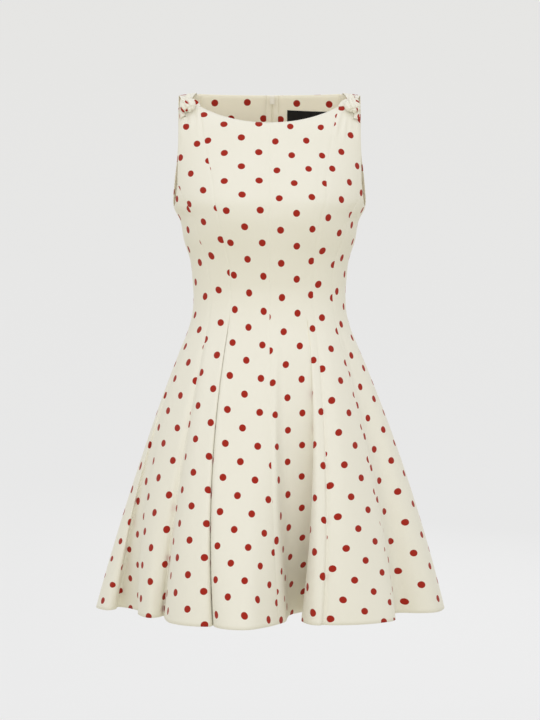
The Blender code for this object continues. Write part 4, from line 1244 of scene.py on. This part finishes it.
def crepe_group():
    """Fine pebbled crepe: crossed threads broken up by a fine grain, and a soft unevenness."""
    group, start, end = new_group("Crepe weave", (), ("Height", "Shade"))
    flat = start.outputs["Flat cloth"]
    bands = 1 / THREAD_PITCH / math.pi
    threads = [wave_node(group, flat, way, bands, THREAD_WANDER) for way in ("X", "Y")]
    crossed = math_node(group, "MULTIPLY", *threads)
    grain = noise_node(group, flat, CREPE_GRAIN)
    soft = noise_node(group, flat, CREPE_SOFT, 3.0)
    height = 0.0
    for part, share in zip((crossed, grain, soft), CREPE_HEIGHTS):
        height = math_node(group, "MULTIPLY_ADD", part, share, height)
    group.links.new(height, end.inputs["Height"])
    fine, broad = CREPE_SHADES
    shade = math_node(group, "MULTIPLY_ADD", grain, fine, -fine / 2)
    shade = math_node(group, "MULTIPLY_ADD", noise_node(group, flat, CREPE_BROAD), broad, shade)
    shade = math_node(group, "ADD", shade, (1 - broad) / 2, clamp=True)
    group.links.new(shade, end.inputs["Shade"])
    return group


def twill_group():
    """Slanted threads of a fine twill with a grain over them, for the label and the zip's tape."""
    group, start, end = new_group("Twill weave", ("Thread scale", "Grain scale", "Grain share"),
                                  ("Threads", "Grain", "Height"))
    flat = start.outputs["Flat cloth"]
    threads = wave_node(group, flat, "DIAGONAL", start.outputs["Thread scale"])
    grain = noise_node(group, flat, start.outputs["Grain scale"])
    height = math_node(group, "MULTIPLY_ADD", grain, start.outputs["Grain share"], threads)
    for name, output in (("Threads", threads), ("Grain", grain), ("Height", height)):
        group.links.new(output, end.inputs[name])
    return group


def new_material(name, finish):
    material = bpy.data.materials.new(name)
    material.use_nodes = True
    tree = material.node_tree
    shader = tree.nodes["Principled BSDF"]
    for socket, value in finish.items():
        feed(tree, value, shader.inputs[socket])
    return material, tree, shader


def print_uv(tree):
    node = tree.nodes.new("ShaderNodeUVMap")
    node.uv_map = "Print"
    return node.outputs["UV"]


def use_group(tree, group, vector, numbers=()):
    """The group's node, given a place and its numbers in the order of its inputs."""
    node = tree.nodes.new("ShaderNodeGroup")
    node.node_tree = group
    for socket, value in zip(node.inputs, (vector, *numbers)):
        feed(tree, value, socket)
    return node.outputs


def finished(tree, shader, colour, height, depth, strength):
    """Gives a material its colour and its relief."""
    node = tree.nodes.new("ShaderNodeBump")
    feed(tree, depth, node.inputs["Distance"])
    feed(tree, strength, node.inputs["Strength"])
    feed(tree, height, node.inputs["Height"])
    feed(tree, node.outputs["Normal"], shader.inputs["Normal"])
    feed(tree, colour, shader.inputs["Base Color"])


def printed_cloth(name, colours, dot_print, crepe):
    material, tree, shader = new_material(name, CREPE_FINISH)
    flat = print_uv(tree)
    weave = use_group(tree, crepe, flat)
    dots = use_group(tree, dot_print, flat)
    ground_dark, ground, dot_dark, dot = colours
    base = mix_colours(tree, weave["Shade"], ground_dark, ground)
    red = mix_colours(tree, weave["Shade"], dot_dark, dot)
    colour = mix_colours(tree, dots["Dots"], base, red)
    finished(tree, shader, colour, weave["Height"], *CREPE_RELIEF)
    return material


def satin_label(twill):
    material, tree, shader = new_material("Black satin label", SATIN_FINISH)
    weave = use_group(tree, twill, print_uv(tree), SATIN_WEAVE)
    colour = mix_colours(tree, weave["Grain"], *LABEL_COLOURS)
    finished(tree, shader, colour, weave["Height"], *SATIN_RELIEF)
    return material


def tape_weave(twill):
    material, tree, shader = new_material("Zip tape weave", TAPE_FINISH)
    weave = use_group(tree, twill, print_uv(tree), TAPE_WEAVE)
    # cream threads, painted lighter to lift the shade under the neck
    colour = mix_colours(tree, weave["Threads"], *TAPE_AND_PAINTED_LIGHT_COLOURS)
    finished(tree, shader, colour, weave["Height"], *TAPE_RELIEF)
    return material


def enamelled_metal():
    """Cream enamel on the zip's slider and tab, its colour and its shine a little uneven."""
    material, tree, shader = new_material("Cream enamelled zip", ENAMEL_FINISH)
    place = tree.nodes.new("ShaderNodeTexCoord").outputs["Object"]
    grain = noise_node(tree, place, ENAMEL_GRAIN, 3.0)
    # cream painted lighter to lift the shade at the back neck
    colour = mix_colours(tree, grain, *ENAMEL_AND_PAINTED_LIGHT_COLOURS)
    rough = range_node(tree, grain, 0.0, 1.0, *ENAMEL_ROUGHNESS)
    tree.links.new(rough, shader.inputs["Roughness"])
    finished(tree, shader, colour, grain, *ENAMEL_RELIEF)
    return material


# ---------------------------------------------------------------- zip teeth


def tooth_shape():
    """Corners and faces of one tooth: a small block with its edges taken off."""
    bpy.ops.object.select_all(action="DESELECT")
    bpy.ops.mesh.primitive_cube_add(size=1.0)
    tooth = bpy.context.object
    bpy.ops.object.mode_set(mode="EDIT")
    bpy.ops.transform.resize(value=TOOTH_SIZE)
    bpy.ops.mesh.bevel(offset=TOOTH_BEVEL, segments=1, affect="EDGES")
    bpy.ops.object.mode_set(mode="OBJECT")
    corners = np.array([v.co for v in tooth.data.vertices])
    polygons = [tuple(p.vertices) for p in tooth.data.polygons]
    bpy.data.objects.remove(tooth, do_unlink=True)
    return corners, polygons


def make_teeth(grids, material):
    """Teeth down the inside of both tapes, one modelled and copied."""
    shape, polygons = tooth_shape()
    x = np.array([1.0, 0, 0])
    for side, suffix in SIDES:
        gore = grids["centre_back" + suffix]
        lift = LAYER_GAP + TAPE_THICKNESS
        route, ahead = lined(gore, TAPE_ROWS, [TEETH_INSET], lift, TAPE_THICKNESS)
        route, inward = route[:, 0], unit(ahead - route)[:, 0]
        steps = run(route)
        places = np.arange(TEETH_START, steps[-1] - TEETH_END, TOOTH_PITCH)
        places = places + (0 if side > 0 else TOOTH_PITCH / 2)
        vertices, faces = [], []
        for place in places:
            centre, out = (read_line(line, steps, place) for line in (route, inward))
            turned = shape @ np.array([x, out, np.cross(x, out)])
            faces += [tuple(len(vertices) + k for k in polygon) for polygon in polygons]
            vertices += [tuple(p) for p in turned + (centre + out * TOOTH_LIFT)]
        piece = recalculated(new_object("zip_teeth" + suffix, vertices, faces, (material,)))
        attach(piece, "dress")


# ---------------------------------------------------------------- studio


def select_edges(obj, wanted):
    """Selects the edges whose ends both pass a test, for edit mode."""
    bpy.ops.mesh.select_all(action="DESELECT")
    bpy.ops.object.mode_set(mode="OBJECT")
    for edge in obj.data.edges:
        edge.select = all(wanted(obj.data.vertices[k].co) for k in edge.vertices)
    bpy.ops.object.mode_set(mode="EDIT")


def make_stage():
    """A pale floor that sweeps up behind into a backdrop."""
    bpy.ops.object.select_all(action="DESELECT")
    bpy.ops.mesh.primitive_plane_add(size=1.0, location=(0, 0, 0))
    floor = bpy.context.object
    floor.name = "studio_floor"
    bpy.ops.object.mode_set(mode="EDIT")
    bpy.ops.transform.resize(value=(FLOOR_WIDTH, FLOOR_LENGTH, 1.0))
    bpy.ops.transform.translate(value=(0, BACKDROP_Y - FLOOR_LENGTH / 2, FLOOR_Z))
    bpy.ops.mesh.select_mode(type="EDGE")
    select_edges(floor, lambda end: end.y > BACKDROP_Y - NEAR)
    bpy.ops.mesh.extrude_region_move(TRANSFORM_OT_translate={"value": (0, 0, BACKDROP_RISE)})
    select_edges(floor, lambda end: end.y > BACKDROP_Y - NEAR and end.z < FLOOR_Z + NEAR)
    bpy.ops.mesh.bevel(offset=SWEEP_RADIUS, segments=SWEEP_SEGMENTS, affect="EDGES")
    bpy.ops.object.mode_set(mode="OBJECT")
    bpy.ops.object.shade_smooth()
    material, tree, shader = new_material("Pale studio paper", PAPER_FINISH)
    place = tree.nodes.new("ShaderNodeTexCoord").outputs["Object"]
    colour = mix_colours(tree, noise_node(tree, place, PAPER_GRAIN), *PAPER_COLOURS)
    tree.links.new(colour, shader.inputs["Base Color"])
    floor.data.materials.append(material)
    floor.visible_diffuse = False


def add_area(name, place, aim, size, power):
    light = bpy.data.lights.new(name, "AREA")
    light.shape = "RECTANGLE"
    light.size, light.size_y = size
    light.energy = power
    lamp = bpy.data.objects.new(name, light)
    lamp.location = place
    lamp.rotation_mode = "QUATERNION"
    lamp.rotation_quaternion = (Vector(aim) - Vector(place)).to_track_quat("-Z", "Y")
    bpy.context.scene.collection.objects.link(lamp)
    lamp.visible_camera = False


def make_light():
    world = bpy.data.worlds.new("Soft studio")
    bpy.context.scene.world = world
    world.use_nodes = True
    tree = world.node_tree
    background = tree.nodes["Background"]
    background.inputs["Strength"].default_value = WORLD_STRENGTH
    upright = tree.nodes.new("ShaderNodeSeparateXYZ")
    tree.links.new(tree.nodes.new("ShaderNodeTexCoord").outputs["Generated"], upright.inputs[0])
    rise = range_node(tree, upright.outputs["Z"], *WORLD_RISE, smooth_step=True)
    colour = mix_colours(tree, rise, WORLD_BELOW, WORLD_ABOVE)
    tree.links.new(colour, background.inputs["Color"])
    for light in LIGHTS:
        add_area(*light)
    bpy.context.scene.view_settings.view_transform = "Standard"


def make_camera():
    camera = bpy.data.cameras.new("Camera")
    camera.sensor_width = CAMERA_SENSOR
    camera.lens = CAMERA_LENS
    camera.clip_start, camera.clip_end = CAMERA_CLIP
    holder = bpy.data.objects.new("Camera", camera)
    holder.location = CAMERA_PLACE
    holder.rotation_euler = (math.pi / 2, 0, 0)
    bpy.context.scene.collection.objects.link(holder)
    bpy.context.scene.camera = holder


# ---------------------------------------------------------------- the dress


def main():
    make_camera()
    dots, crepe, twill = dot_print_group(), crepe_group(), twill_group()
    outside = printed_cloth("Red dot crepe", CREPE_COLOURS, dots, crepe)
    # inside of the gores: its ground painted lighter and warmer, as painted light inside the dress
    wrong_side_and_painted_light = printed_cloth("Red dot crepe wrong side with painted inner light", WRONG_SIDE_AND_PAINTED_LIGHT_COLOURS, dots, crepe)
    # facing: ground painted lighter and warmer, as painted light in the shaded back neck
    facing = printed_cloth("Red dot facing", FACING_PAINTED_LIGHT_COLOURS, dots, crepe)
    tape = tape_weave(twill)
    grids = make_gores(outside, wrong_side_and_painted_light)
    make_back_lining(grids, facing, tape)
    make_label(grids["centre_back_l"], satin_label(twill))
    make_ties(grids, outside)
    make_teeth(grids, tape)
    enamel = enamelled_metal()
    for node in ("zip_slider", "pull_tab"):
        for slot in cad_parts[node].material_slots:
            slot.material = enamel
    make_stage()
    make_light()


main()
